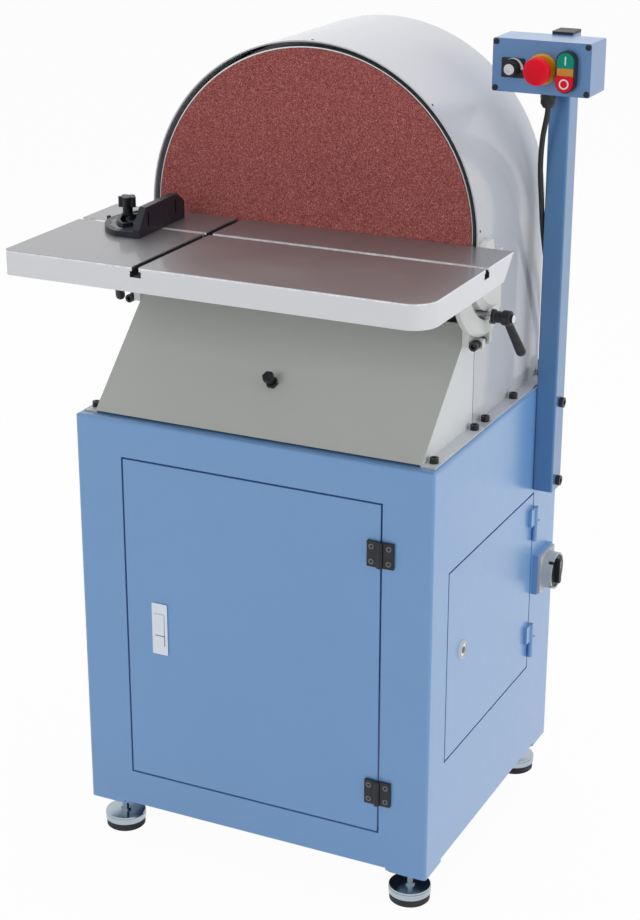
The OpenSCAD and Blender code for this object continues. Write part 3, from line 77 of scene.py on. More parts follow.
class Facing(Enum):
    """Which way a small piece looks: the rows are its own X, Y and Z in the shared frame."""

    FRONT = ((1, 0, 0), (0, 0, 1), (0, -1, 0))
    BACK = ((-1, 0, 0), (0, 0, 1), (0, 1, 0))
    RIGHT = ((0, 1, 0), (0, 0, 1), (1, 0, 0))
    LEFT = ((0, -1, 0), (0, 0, 1), (-1, 0, 0))

    @property
    def turn(self) -> np.ndarray:
        """Rotation matrix from the piece's own axes to the shared frame."""
        return np.array(self.value, float).T


# Shader maths


class Wire:
    """A shader socket that takes part in Python expressions, each of which adds a Math node."""

    def __init__(self, graph: "Graph", socket: bpy.types.NodeSocket) -> None:
        """Keeps the socket and the graph that it belongs to."""
        self.graph = graph
        self.socket = socket

    def _math(self, operation: str, first: "Value", second: "Value") -> "Wire":
        """Adds one Math node between two values."""
        return self.graph.node("ShaderNodeMath", {"operation": operation}, {0: first, 1: second})

    def __add__(self, other: "Value") -> "Wire":
        """Sum."""
        return self._math("ADD", self, other)

    __radd__ = __add__

    def __sub__(self, other: "Value") -> "Wire":
        """Difference."""
        return self._math("SUBTRACT", self, other)

    def __rsub__(self, other: "Value") -> "Wire":
        """Difference with this value taken away."""
        return self._math("SUBTRACT", other, self)

    def __mul__(self, other: "Value") -> "Wire":
        """Product."""
        return self._math("MULTIPLY", self, other)

    __rmul__ = __mul__

    def __abs__(self) -> "Wire":
        """Size without its sign."""
        return self._math("ABSOLUTE", self, 0.0)

    def high(self, other: "Value") -> "Wire":
        """Larger of two values."""
        return self._math("MAXIMUM", self, other)

    def above(self, level: float, blur: float) -> "Wire":
        """One above a level and nothing below it, with a soft edge."""
        return self.step(level - blur, level + blur)

    def swing(self, spread: float) -> "Wire":
        """Noise turned into a change about nothing, half the spread to each side."""
        return (self - 0.5) * spread

    def step(self, low: float, top: float) -> "Wire":
        """Smooth step from 0 at low to 1 at top; low may be the larger one.

        Args:
            low: Value where the step starts.
            top: Value where it ends.

        Returns:
            The step as a wire.
        """
        settings = {"interpolation_type": "SMOOTHSTEP", "clamp": True}
        if low < top:
            return self.graph.node("ShaderNodeMapRange", settings, {0: self, 1: low, 2: top, 3: 0.0, 4: 1.0})
        return self.graph.node("ShaderNodeMapRange", settings, {0: self, 1: top, 2: low, 3: 1.0, 4: 0.0})


Value = Wire | float


@dataclass(frozen=True)
class Noise:
    """How fine a noise is: bumps per unit of length, and how many and how strong its finer bumps are."""

    scale: float
    detail: float = 2.0
    rough: float = 0.5


class Graph:
    """The node tree of a material or the world around its shader."""

    def __init__(self, tree: bpy.types.NodeTree, kind: str = "BSDF_PRINCIPLED") -> None:
        """Keeps the tree and finds its shader."""
        self.tree = tree
        self.shader = next(n for n in tree.nodes if n.type == kind)

    def node(self, kind: str, settings: dict[str, Any], sockets: dict[Any, Any], out: Any = 0) -> Wire:
        """Adds any node.

        Args:
            kind: The node's type name.
            settings: Its settings, which are set first.
            sockets: Its inputs by name or number, each a value or a wire.
            out: Name or number of the output that is wanted.

        Returns:
            The output as a wire.
        """
        made = self.tree.nodes.new(kind)
        for key, value in settings.items():
            setattr(made, key, value)
        self._plug(made, sockets)
        return Wire(self, made.outputs[out])

    def _plug(self, made: bpy.types.Node, sockets: dict[Any, Any]) -> None:
        """Links or sets inputs of a node.

        Args:
            made: The node.
            sockets: Its inputs by name or number, each a value or a wire.
        """
        for key, value in sockets.items():
            if isinstance(value, Wire):
                self.tree.links.new(value.socket, made.inputs[key])
            else:
                made.inputs[key].default_value = value

    def surface(self, **sockets: Any) -> None:
        """Links or sets inputs of the shader, named with underscores for spaces."""
        self._plug(self.shader, {key.replace("_", " "): value for key, value in sockets.items()})

    def place(self) -> Wire:
        """Object coordinates."""
        return self.node("ShaderNodeTexCoord", {}, {}, "Object")

    def normal_part(self, axis: str) -> Wire:
        """Size of the surface normal along one of the piece's own axes."""
        normal = self.node("ShaderNodeTexCoord", {}, {}, "Normal")
        return abs(self.node("ShaderNodeSeparateXYZ", {}, {0: normal}, axis))

    def part(self, axis: str) -> Wire:
        """One of the object coordinates."""
        return self.node("ShaderNodeSeparateXYZ", {}, {0: self.place()}, axis)

    def shift(self, centre: Point = (0, 0, 0), scale: Point = (1, 1, 1)) -> Wire:
        """Object coordinates about a centre, stretched along each axis."""
        away = self.node("ShaderNodeVectorMath", {"operation": "SUBTRACT"}, {0: self.place(), 1: centre})
        return self.node("ShaderNodeMapping", {}, {"Vector": away, "Scale": scale})

    def noise(self, where: Wire, kind: Noise) -> Wire:
        """Noise from 0 to 1."""
        sockets = {"Vector": where, "Scale": kind.scale, "Detail": kind.detail, "Roughness": kind.rough}
        return self.node("ShaderNodeTexNoise", {}, sockets)

    def cells(self, where: Wire, scale: float) -> Wire:
        """Distance from the middle of the nearest grain."""
        return self.node("ShaderNodeTexVoronoi", {}, {"Vector": where, "Scale": scale}, "Distance")

    def blend(self, low: Any, top: Any, factor: Value) -> Wire:
        """Colour between two colours."""
        first, last = (colour if isinstance(colour, Wire) else (*colour, 1.0) for colour in (low, top))
        return self.node("ShaderNodeMix", {"data_type": "RGBA"}, {0: factor, 6: first, 7: last}, 2)

    def tones(self, colour: Colour, span: Span, factor: Value) -> Wire:
        """Colour between a darker and a lighter tone of itself."""
        return self.blend(*(scaled(colour, tone) for tone in span), factor)

    def between(self, low: Value, top: Value, factor: Value) -> Wire:
        """Number between two numbers."""
        return self.node("ShaderNodeMix", {"data_type": "FLOAT"}, {0: factor, 2: low, 3: top})

    def bump(self, height: Wire, strength: float, distance: float, under: Wire | None = None) -> Wire:
        """Normal that a height gives, with its reach in metres, over another bump's normal if given.

        Args:
            height: Height over the surface.
            strength: Share of the bump that shows.
            distance: Reach of the height in metres.
            under: Normal of another bump that this one lies on.

        Returns:
            The normal as a wire.
        """
        sockets = {"Height": height, "Strength": strength, "Distance": distance}
        if under is not None:
            sockets["Normal"] = under
        return self.node("ShaderNodeBump", {}, sockets, "Normal")


def scaled(colour: Colour, factor: float) -> Colour:
    """Colour made lighter or darker, kept below white."""
    return tuple(min(part * factor, WHITEST) for part in colour)


# Finishes


@dataclass(frozen=True)
class Finish:
    """A named finish that gives one material."""

    name: str
    made: ClassVar[dict[str, bpy.types.Material]] = {}

    def material(self) -> bpy.types.Material:
        """The material, made the first time that it is asked for.

        Returns:
            The material, the same one each time.
        """
        if self.name not in Finish.made:
            material = bpy.data.materials.new(self.name)
            material.use_nodes = True
            self.shade(Graph(material.node_tree))
            Finish.made[self.name] = material
        return Finish.made[self.name]

    def shade(self, graph: Graph) -> None:
        """Sets up the shader.

        Args:
            graph: The material's node tree.
        """
        raise NotImplementedError

    def dress(self, *nodes: str) -> None:
        """Puts the finish on solids by name.

        Args:
            *nodes: Names of the solids.
        """
        for name in nodes:
            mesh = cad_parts[name].data
            mesh.materials.clear()
            mesh.materials.append(self.material())


@dataclass(frozen=True)
class Paint(Finish):
    """Sprayed paint on sheet or casting: faint clouds in its tone, orange peel and small dull patches."""

    colour: Colour = (0.5, 0.5, 0.5)
    rough: float = 0.4
    tone: float = 0.035
    peel: float = 0.1
    peel_scale: float = 330.0
    coat: float = 0.15
    coat_rough: float = 0.25
    clouds: Noise = Noise(4.0, 3.0)
    dull: Noise = Noise(34.0, 4.0, 0.6)
    dull_spread: float = 0.14
    peel_reach: float = 0.0004
    shine: float = 0.42

    def tint(self, graph: Graph) -> Wire:
        """Colour of the paint, a little lighter and darker in clouds."""
        cloud = graph.noise(graph.place(), self.clouds)
        return graph.tones(self.colour, (1 - self.tone, 1 + self.tone), cloud)

    def shade(self, graph: Graph) -> None:
        """Clouds drive the tone, dull patches the gloss and fine noise the peel.

        Args:
            graph: The material's node tree.
        """
        where = graph.place()
        dull = graph.noise(where, self.dull)
        peel = graph.noise(where, Noise(self.peel_scale))
        graph.surface(
            Base_Color=self.tint(graph),
            Roughness=self.rough + dull.swing(self.dull_spread),
            Normal=graph.bump(peel, self.peel, self.peel_reach),
            Coat_Weight=self.coat,
            Coat_Roughness=self.coat_rough,
            Specular_IOR_Level=self.shine,
        )


@dataclass(frozen=True)
class ShadedCoverPaint(Paint):
    """Paint of the lower cover: its grey-green slope, also darkened as painted shade under the table; side
    walls painted lighter as painted light from the right; and a dark painted shadow line in the gap where the
    side walls end at the hood.
    """

    # The side walls' lighter colour is painted light from the right; the dark colour after it is a painted
    # shadow line in the gap at the hood.
    lit_wall: Colour = srgb(228, 231, 234)
    seam_shadow: Colour = srgb(84, 86, 88)
    seam_shadow_w: float = 0.0016
    seam_shadow_blur: float = 0.0003
    slope_lean: Span = (0.3, 0.1)

    def tint(self, graph: Graph) -> Wire:
        """The surface's direction chooses the slope or the side walls' painted light, and distance from the
        back edge the painted shadow line.

        Args:
            graph: The material's node tree.

        Returns:
            The colour as a wire.
        """
        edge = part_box("lower_cover")[1].y - self.seam_shadow_w
        # Painted shadow line along the back edge of the side walls, in the gap at the hood.
        seam_shadow_mask = graph.part("Y").above(edge, self.seam_shadow_blur) * graph.normal_part("X").step(*SQUARE_ON)
        # Side walls painted lighter than the slope: painted light from the right.
        sheet = graph.blend(super().tint(graph), self.lit_wall, graph.normal_part("Y").step(*self.slope_lean))
        return graph.blend(sheet, self.seam_shadow, seam_shadow_mask)


@dataclass(frozen=True)
class Metal(Finish):
    """Bare or plated metal with fine marks along one direction."""

    colour: Colour = (0.6, 0.6, 0.62)
    rough: float = 0.25
    spread: float = 0.1
    stretch: Point = (40.0, 40.0, 900.0)
    marks: Noise = Noise(1.0, 3.0, 0.6)
    smear: Noise = Noise(30.0, 3.0)
    marks_share: float = 0.6
    tones: Span = (0.88, 1.06)
    mark_bump: Span = (0.06, 0.0002)

    def shade(self, graph: Graph) -> None:
        """Stretched noise drives the gloss and a slight change of tone.

        Args:
            graph: The material's node tree.
        """
        marks = graph.noise(graph.shift(scale=self.stretch), self.marks)
        smear = graph.noise(graph.place(), self.smear)
        tone = marks * self.marks_share + smear * (1 - self.marks_share)
        graph.surface(
            Base_Color=graph.tones(self.colour, self.tones, tone),
            Roughness=self.rough + marks.swing(self.spread) + smear.swing(self.spread),
            Normal=graph.bump(marks, *self.mark_bump),
            Metallic=1.0,
        )


@dataclass(frozen=True)
class Moulding(Finish):
    """Moulded plastic or blackened steel with a fine grain and rubbed patches."""

    colour: Colour = (0.03, 0.03, 0.03)
    rough: float = 0.45
    grain: float = 0.16
    grain_scale: float = 900.0
    rub: float = 0.25
    coat: float = 0.0
    shine: float = 0.38
    rubbed: Noise = Noise(55.0, 4.0, 0.65)
    rub_span: Span = (0.45, 0.75)
    rub_gloss: float = 0.06
    grain_gloss: float = 0.12
    grain_reach: float = 0.0003

    def shade(self, graph: Graph) -> None:
        """Fine grain makes the bump, and slow noise lightens and smooths rubbed patches.

        Args:
            graph: The material's node tree.
        """
        where = graph.place()
        rub = graph.noise(where, self.rubbed).step(*self.rub_span)
        grain = graph.noise(where, Noise(self.grain_scale))
        graph.surface(
            Base_Color=graph.blend(self.colour, scaled(self.colour, 1 + self.rub), rub),
            Roughness=self.rough + grain.swing(self.grain_gloss) - rub * self.rub_gloss,
            Normal=graph.bump(grain, self.grain, self.grain_reach),
            Coat_Weight=self.coat,
            Specular_IOR_Level=self.shine,
        )


@dataclass(frozen=True)
class Abrasive(Finish):
    """Coarse red grain bonded to a sheet."""

    colour: Colour = srgb(172, 92, 89)
    light: Colour = srgb(244, 184, 172)
    dark: Colour = srgb(78, 26, 28)
    grain_scale: float = 620.0
    pick: Noise = Noise(640.0, 3.0, 0.7)
    drift: Noise = Noise(7.0, 3.0)
    drift_tones: Span = (0.93, 1.07)
    light_span: Span = (0.52, 0.7)
    light_share: float = 0.66
    dark_span: Span = (0.5, 0.3)
    dark_share: float = 0.9
    rough: float = 0.78
    rough_more: float = 0.2
    pick_height: float = 0.6
    grain_bump: Span = (0.55, 0.0008)
    shine: float = 0.3

    def shade(self, graph: Graph) -> None:
        """Grains by cells, with noise that picks the light and the dark ones.

        Args:
            graph: The material's node tree.
        """
        where = graph.place()
        grain = graph.cells(where, self.grain_scale)
        pick = graph.noise(where, self.pick)
        drift = graph.noise(where, self.drift)
        base = graph.tones(self.colour, self.drift_tones, drift)
        base = graph.blend(base, self.light, pick.step(*self.light_span) * self.light_share)
        base = graph.blend(base, self.dark, pick.step(*self.dark_span) * self.dark_share)
        height = 1.0 - grain + pick * self.pick_height
        graph.surface(
            Base_Color=base,
            Roughness=self.rough + pick * self.rough_more,
            Normal=graph.bump(height, *self.grain_bump),
            Specular_IOR_Level=self.shine,
        )


@dataclass(frozen=True)
class GroundTop(Finish):
    """Cast table: painted below, with a ground steel top and machined slots; painted shade deep in the slots,
    painted highlights along their top edges, and a painted highlight mixed with the paint's wear along the
    table's top edge.
    """

    paint: Colour = srgb(238, 240, 244)
    # Worn paint along the top edge, lighter and metallic: real wear that also stands in as a painted
    # highlight on the edge.
    chipped_and_highlight: Colour = srgb(244, 248, 254)
    steel: Colour = srgb(164, 164, 167)
    # Painted highlight along the slots' top edges, and painted shade deeper in the slots.
    slot_highlight: Colour = srgb(250, 251, 252)
    slot_shade: Colour = srgb(64, 64, 66)
    slot_half: float = 0.0092
    slot_blur: float = 0.0004
    bar_to_slot: float = 0.0095
    edge_depth: float = 0.0036
    # Depth of the painted highlight along the cross slot's top edge.
    cross_highlight_depth: float = 0.0012
    edge_blur: float = 0.0005
    face_depths: Span = (0.0011, 0.0004)
    # Depth of the band of wear and painted highlight below the top.
    chip_highlight_depth: float = 0.0028
    chip_highlight_blur: float = 0.0006
    worn: Noise = Noise(130.0, 4.0, 0.7)
    worn_span: Span = (0.42, 0.58)
    marks: Noise = Noise(1.0, 4.0, 0.65)
    marks_stretch: Point = (9.0, 520.0, 9.0)
    marks_share: float = 0.55
    marks_gloss: float = 0.14
    marks_height: float = 0.12
    stain: Noise = Noise(7.0, 4.0, 0.6)
    stain_gloss: float = 0.18
    peel: Noise = Noise(260.0)
    peel_height: float = 0.6
    fine_bump: Span = (0.12, 0.0003)
    steel_tones: Span = (0.84, 1.1)
    metal_share: float = 0.8
    paint_rough: float = 0.42
    steel_rough: float = 0.44
    oil: float = 0.45
    oil_rough: float = 0.1
    shine: float = 0.4

    def slots(self, graph: Graph) -> list[Wire]:
        """For the long and the cross slot, one on its walls and floor; the gauge's bar gives their places.

        Args:
            graph: The material's node tree.

        Returns:
            The mask of the long slot and that of the cross slot.
        """
        low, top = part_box("mitre_bar")
        lines = {"Y": ("X", (low.y + top.y) / 2), "X": ("Y", top.x + self.bar_to_slot)}
        return [
            abs(graph.part(across) - middle_line).step(self.slot_half, self.slot_half - self.slot_blur)
            * graph.normal_part(along).step(*reversed(SQUARE_ON))
            for across, (along, middle_line) in lines.items()
        ]

    def shade(self, graph: Graph) -> None:
        """Height and the slots choose oiled steel, the slots' painted highlight or painted shade, or paint
        with worn places that also carry a painted highlight; grinding marks run across.

        Args:
            graph: The material's node tree.
        """
        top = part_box("table")[1].z
        height = graph.part("Z")
        face = height.step(*(top - depth for depth in self.face_depths))
        long_slot, cross_slot = self.slots(graph)
        place = graph.place()
        # Painted highlights along the top edges of the long and the cross slot.
        edge = height.above(top - self.edge_depth, self.edge_blur) * long_slot
        cross_slot_highlight = height.above(top - self.cross_highlight_depth, self.edge_blur) * cross_slot
        worn = graph.noise(place, self.worn).step(*self.worn_span)
        # Wear near the top edge, which also stands in as a painted highlight.
        chips_and_highlight = worn * height.above(top - self.chip_highlight_depth, self.chip_highlight_blur)
        marks = graph.noise(graph.shift(scale=self.marks_stretch), self.marks)
        stain = graph.noise(place, self.stain)
        peel = graph.noise(place, self.peel)
        tone = marks * self.marks_share + stain * (1 - self.marks_share)
        steel = graph.tones(self.steel, self.steel_tones, tone)
        gloss = self.steel_rough + marks.swing(self.marks_gloss) + stain.swing(self.stain_gloss)
        painted = graph.blend(self.paint, self.chipped_and_highlight, chips_and_highlight)
        # Painted shade deep in the slots, painted highlight at their top edges.
        slot_light_and_shade = graph.blend(self.slot_shade, self.slot_highlight, edge.high(cross_slot_highlight))
        rest = graph.blend(painted, slot_light_and_shade, long_slot.high(cross_slot))
        fine = graph.between(peel * self.peel_height, marks * self.marks_height, face)
        chamfer = height.step(top, top - self.edge_depth) * long_slot
        texture = graph.bump(fine, *self.fine_bump)
        graph.surface(
            Base_Color=graph.blend(rest, steel, face),
            Metallic=face.high(chips_and_highlight) * self.metal_share,
            Roughness=graph.between(self.paint_rough, gloss, face),
            Normal=graph.bump(chamfer, 1.0, self.edge_depth, texture),
            Coat_Weight=face * self.oil,
            Coat_Roughness=self.oil_rough,
            Specular_IOR_Level=self.shine,
        )


@dataclass(frozen=True)
class TwoTone(Finish):
    """Steel bar below a level, blackened above it."""

    level: float = 0.0
    steel: Colour = srgb(228, 229, 232)
    black: Colour = srgb(38, 38, 42)
    marks: Noise = Noise(1.0, 3.0)
    marks_stretch: Point = (12.0, 700.0, 700.0)
    tones: Span = (0.9, 1.05)
    blur: float = 0.0002
    metal_share: float = 0.5
    rough_steel: float = 0.34
    rough_black: float = 0.42
    rough_more: float = 0.1
    mark_bump: Span = (0.05, 0.0002)

    def shade(self, graph: Graph) -> None:
        """Height chooses bright steel or black.

        Args:
            graph: The material's node tree.
        """
        marks = graph.noise(graph.shift(scale=self.marks_stretch), self.marks)
        above = graph.part("Z").above(self.level, self.blur)
        bright = graph.tones(self.steel, self.tones, marks)
        dull = marks * self.rough_more
        graph.surface(
            Base_Color=graph.blend(bright, self.black, above),
            Metallic=(1.0 - above) * self.metal_share,
            Roughness=graph.between(self.rough_steel + dull, self.rough_black + dull, above),
            Normal=graph.bump(marks, *self.mark_bump),
        )


@dataclass(frozen=True)
class Turned(Finish):
    """Metal face with rings left by turning, about a centre on the front of the machine."""

    centre: Point = (0.0, 0.0, 0.0)
    colour: Colour = srgb(206, 207, 208)
    ring_rate: float = 9000.0
    tones: Span = (0.82, 1.05)
    rough: float = 0.26
    rough_more: float = 0.12
    ring_bump: Span = (0.1, 0.0001)

    def shade(self, graph: Graph) -> None:
        """Distance from the centre makes fine rings.

        Args:
            graph: The material's node tree.
        """
        about = graph.shift(self.centre)
        reach = graph.node("ShaderNodeVectorMath", {"operation": "LENGTH"}, {0: about}, "Value")
        wave = graph.node("ShaderNodeMath", {"operation": "SINE"}, {0: reach * self.ring_rate})
        rings = wave * 0.5 + 0.5
        graph.surface(
            Base_Color=graph.tones(self.colour, self.tones, rings),
            Roughness=self.rough + rings * self.rough_more,
            Normal=graph.bump(rings, *self.ring_bump),
            Metallic=1.0,
        )


BLUE = Paint("blue_paint", colour=srgb(116, 165, 219), rough=0.36, tone=0.03, peel=0.08, coat=0.9)
# A darker copy of the blue paint: painted shade on the control post, whose front stands in shadow.
SHADED_BLUE_POST = Paint("shaded_blue_post_paint", colour=srgb(80, 132, 184), rough=0.34, tone=0.03, peel=0.08, coat=0.8)
# A darker copy of the blue paint: painted shade on the control box, whose front faces away from the light.
SHADED_BLUE_BOX = Paint(
    "shaded_blue_control_paint",
    colour=srgb(88, 136, 190),
    rough=0.36,
    tone=0.03,
    peel_scale=480.0,
    coat=0.9,
)
GREY = Paint(
    "light_grey_paint",
    colour=srgb(203, 205, 212),
    rough=0.42,
    tone=0.02,
    peel=0.03,
    coat=0.65,
    coat_rough=0.09,
)
# Its slope colour is the cover's grey-green, also darkened as painted shade under the table.
COVER_GREY = ShadedCoverPaint("cover_grey_paint", colour=srgb(199, 202, 196), rough=0.4, tone=0.02, peel=0.08)
CAST_GREY = Paint(
    "casting_grey_paint", colour=srgb(224, 226, 224), rough=0.42, tone=0.03, peel=0.35, peel_scale=240.0
)
MOTOR_GREY = Paint(
    "motor_grey_paint", colour=srgb(120, 126, 134), rough=0.45, tone=0.05, peel=0.3, peel_scale=300.0
)
CHROME = Metal(
    "bright_plating", colour=srgb(226, 228, 231), rough=0.1, spread=0.06, stretch=(60.0, 60.0, 300.0)
)
FOOT_PLATE = Metal(
    "foot_plating", colour=srgb(176, 188, 196), rough=0.2, spread=0.12, stretch=(60.0, 60.0, 300.0)
)
STEEL = Metal("machined_steel", colour=srgb(188, 190, 194), rough=0.28, spread=0.14)
WORN_STEEL = Metal("worn_screw_steel", colour=srgb(112, 114, 120), rough=0.34, spread=0.12)
ZINC = Metal("zinc_plating", colour=srgb(196, 200, 202), rough=0.36, spread=0.16, stretch=(30.0, 30.0, 30.0))
SATIN = Metal(
    "satin_latch_metal", colour=srgb(212, 218, 228), rough=0.3, spread=0.1, stretch=(400.0, 400.0, 30.0)
)
DISC_METAL = Metal(
    "turned_disc_metal", colour=srgb(222, 224, 226), rough=0.3, spread=0.1, stretch=(60.0, 900.0, 60.0)
)
BLACK_STEEL = Moulding("blackened_steel", colour=srgb(32, 33, 38), rough=0.38, grain=0.1, rub=0.6)
BLACK_GLOSS = Moulding("glossy_black", colour=srgb(24, 25, 30), rough=0.16, grain=0.03, shine=0.7)
BLACK_PLASTIC = Moulding("black_plastic", colour=srgb(30, 31, 36), rough=0.42)
GAUGE_BLACK = Moulding(
    "gauge_black", colour=srgb(34, 37, 46), rough=0.38, grain=0.25, grain_scale=500.0, rub=0.5
)
RUBBER = Moulding("foot_rubber", colour=srgb(52, 52, 55), rough=0.72, grain=0.3, grain_scale=420.0)
GREY_PLASTIC = Moulding("grey_plastic", colour=srgb(196, 199, 202), rough=0.42, rub=0.08)
RED = Moulding("red_plastic", colour=srgb(232, 14, 42), rough=0.36, grain=0.06, rub=0.06, shine=0.2)
GREEN = Moulding("green_plastic", colour=srgb(0, 148, 126), rough=0.36, grain=0.06, rub=0.06, shine=0.2)
AMBER = Moulding("amber_lens", colour=srgb(206, 140, 24), rough=0.24, grain=0.05, rub=0.1, coat=0.3)
YELLOW = Moulding("yellow_collar", colour=srgb(222, 156, 32), rough=0.36, grain=0.08, rub=0.08)
WHITE_MARK = Moulding("white_print", colour=srgb(232, 234, 234), rough=0.5, grain=0.05, rub=0.02)
JACKET = Moulding("cable_jacket", colour=srgb(38, 38, 41), rough=0.46, grain=0.2, grain_scale=1200.0)


# Surfaces


def grid_faces(rows: int, columns: int, wrap: bool) -> np.ndarray:
    """Corner numbers of the quads between the points of a grid.

    Args:
        rows: Number of points along the first parameter.
        columns: Number of points along the second parameter.
        wrap: Whether the second parameter closes on itself.

    Returns:
        One row of four corner numbers for each quad.
    """
    index = np.arange(rows * columns).reshape(rows, columns)
    across = np.roll(index, -1, axis=1) if wrap else index[:, 1:]
    here = index if wrap else index[:, :-1]
    quads = np.stack([here[:-1], across[:-1], across[1:], here[1:]], axis=-1)
    return quads.reshape(-1, 4)


def revolve(profile: np.ndarray, sides: int = ROUND_SIDES) -> Mesh:
    """Surface of revolution: radius and height of each profile point turned through a full circle about Z.

    Args:
        profile: Radius and height of each point, from one end to the other.
        sides: Number of steps round the circle.

    Returns:
        Points and quads, with the poles still to be merged.
    """
    angle = np.linspace(0, 2 * math.pi, sides, endpoint=False)
    radius, height = profile[:, :1], profile[:, 1:]
    points = np.stack([radius * np.cos(angle), radius * np.sin(angle), height + 0 * angle], axis=-1)
    return points.reshape(-1, 3), grid_faces(len(profile), sides, True)


def slab(width: float, length: float, height: float, edge: float) -> Mesh:
    """Flat bar with softened edges: a superellipse outline carried up and drawn in towards its top.

    Args:
        width: Size along X.
        length: Size along Y.
        height: Size along Z.
        edge: Share of the outline that is drawn in at the top.

    Returns:
        Points and quads, with the middle points still to be merged.
    """
    angle = np.linspace(0, 2 * math.pi, FEW_SIDES, endpoint=False)
    power = 0.28
    circle = np.stack([np.cos(angle), np.sin(angle)])
    outline = np.sign(circle) * np.abs(circle) ** power
    grow = np.array([0.0, 1.0, 1.0, 1 - edge, 0.0])
    level = np.array([0.0, 0.0, 0.7, 1.0, 1.0]) * height
    points = np.stack([
        grow[:, None] * outline[0] * width / 2,
        grow[:, None] * outline[1] * length / 2,
        level[:, None] + 0 * angle,
    ], axis=-1)
    return points.reshape(-1, 3), grid_faces(len(grow), FEW_SIDES, True)


def tube(path: np.ndarray, radius: float, sides: int = 16) -> Mesh:
    """Round tube: a circle carried along a path, square to it, turned by the path's direction and Y.

    Args:
        path: Points along the middle of the tube.
        radius: Radius of the tube.
        sides: Number of steps round it.

    Returns:
        Points and quads, closed at both ends by rings of no size.
    """
    along = np.gradient(path, axis=0)
    along /= np.linalg.norm(along, axis=1, keepdims=True)
    first = np.cross(along, [0.0, 1.0, 0.0])
    first /= np.linalg.norm(first, axis=1, keepdims=True)
    second = np.cross(along, first)
    angle = np.linspace(0, 2 * math.pi, sides, endpoint=False)
    ring = np.cos(angle)[None, :, None] * first[:, None] + np.sin(angle)[None, :, None] * second[:, None]
    points = path[:, None] + radius * ring
    first_ring, last_ring = (np.repeat(end[:, None], sides, 1) for end in (path[:1], path[-1:]))
    points = np.concatenate([first_ring, points, last_ring])
    return points.reshape(-1, 3), grid_faces(len(points), sides, True)


def growing_arc(
    radius: float, width: float, first: float, last: float, height: float, steps: int = 41
) -> Mesh:
    """Flat band along an arc about Z: its width grows evenly from nothing to its full size.

    Args:
        radius: Radius of the band's middle line.
        width: Width at the band's last end.
        first: Angle of the thin end in degrees.
        last: Angle of the wide end in degrees.
        height: Thickness of the band.
        steps: Number of points along the arc.

    Returns:
        Points and quads, with the ends still to be merged.
    """
    share = np.append(np.linspace(0, 1, steps), 1.0)
    angle = np.radians(first + (last - first) * share)
    half = width / 2 * share
    half[-1] = 0.0
    reach = radius + half[:, None] * np.array([-1, 1, 1, -1])
    level = np.broadcast_to(height * np.array([0, 0, 1, 1]), reach.shape)
    points = np.stack([reach * np.cos(angle)[:, None], reach * np.sin(angle)[:, None], level], axis=-1)
    return points.reshape(-1, 3), grid_faces(len(share), 4, True)


def moved(mesh: Mesh, turn: np.ndarray, place: np.ndarray) -> Mesh:
    """Surface turned by a matrix and moved to a place."""
    return mesh[0] @ turn.T + np.asarray(place, float), mesh[1]


def joined(meshes: list[Mesh]) -> Mesh:
    """Several surfaces as one, with their corner numbers counted on.

    Args:
        meshes: The surfaces in order.

    Returns:
        Points and quads of all of them.
    """
    starts = np.cumsum([0] + [len(points) for points, _ in meshes[:-1]])
    points = np.concatenate([points for points, _ in meshes])
    return points, np.concatenate([faces + start for (_, faces), start in zip(meshes, starts)])


def piece(
    name: str, mesh: Mesh, body: str, finish: Finish, sharp: float = 40.0
) -> bpy.types.Object:
    """Makes an object of a surface, merges its poles, turns its faces outwards and lets it ride on a body.

    Args:
        name: Name of the piece.
        mesh: Its points and quads, in the shared frame.
        body: Body that it rides on.
        finish: Finish that it wears.
        sharp: Angle in degrees above which an edge stays sharp.

    Returns:
        The object.
    """
    points, faces = mesh
    data = bpy.data.meshes.new(name)
    data.from_pydata(points.tolist(), [], faces.tolist())
    work = bmesh.new()
    work.from_mesh(data)
    bmesh.ops.remove_doubles(work, verts=work.verts, dist=MERGE_DISTANCE)
    bmesh.ops.recalc_face_normals(work, faces=work.faces)
    work.to_mesh(data)
    work.free()
    data.polygons.foreach_set("use_smooth", np.ones(len(data.polygons), bool))
    data.set_sharp_from_angle(angle=math.radians(sharp))
    data.materials.append(finish.material())
    made = bpy.data.objects.new(name, data)
    bpy.context.scene.collection.objects.link(made)
    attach(made, body)
    LOG.info("piece %s on %s, %d faces", name, body, len(data.polygons))
    return made


def middle(node: str) -> np.ndarray:
    """Middle of a solid's box."""
    low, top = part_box(node)
    return (np.array(low) + np.array(top)) / 2


def turn_about(axis: int, degrees: float) -> np.ndarray:
    """Rotation matrix about X, Y or Z, given as 0, 1 or 2."""
    return np.array(Matrix.Rotation(math.radians(degrees), 3, "XYZ"[axis]), float)


def screw_head(radius: float, height: float) -> Mesh:
    """Low domed head with a conical drive recess: one profile turned about Z.

    Args:
        radius: Radius of the head.
        height: Height of the head.

    Returns:
        Points and quads, standing on Z = 0.
    """
    recess = [[0.0, 0.35], [0.28, 0.45], [0.34, 0.96]]
    dome = [[0.55, 0.98], [0.82, 0.8], [0.97, 0.42], [1.0, 0.0], [0.0, 0.0]]
    profile = np.array(recess + dome)
    return revolve(profile * [radius, height], FEW_SIDES)


# Sub-assemblies


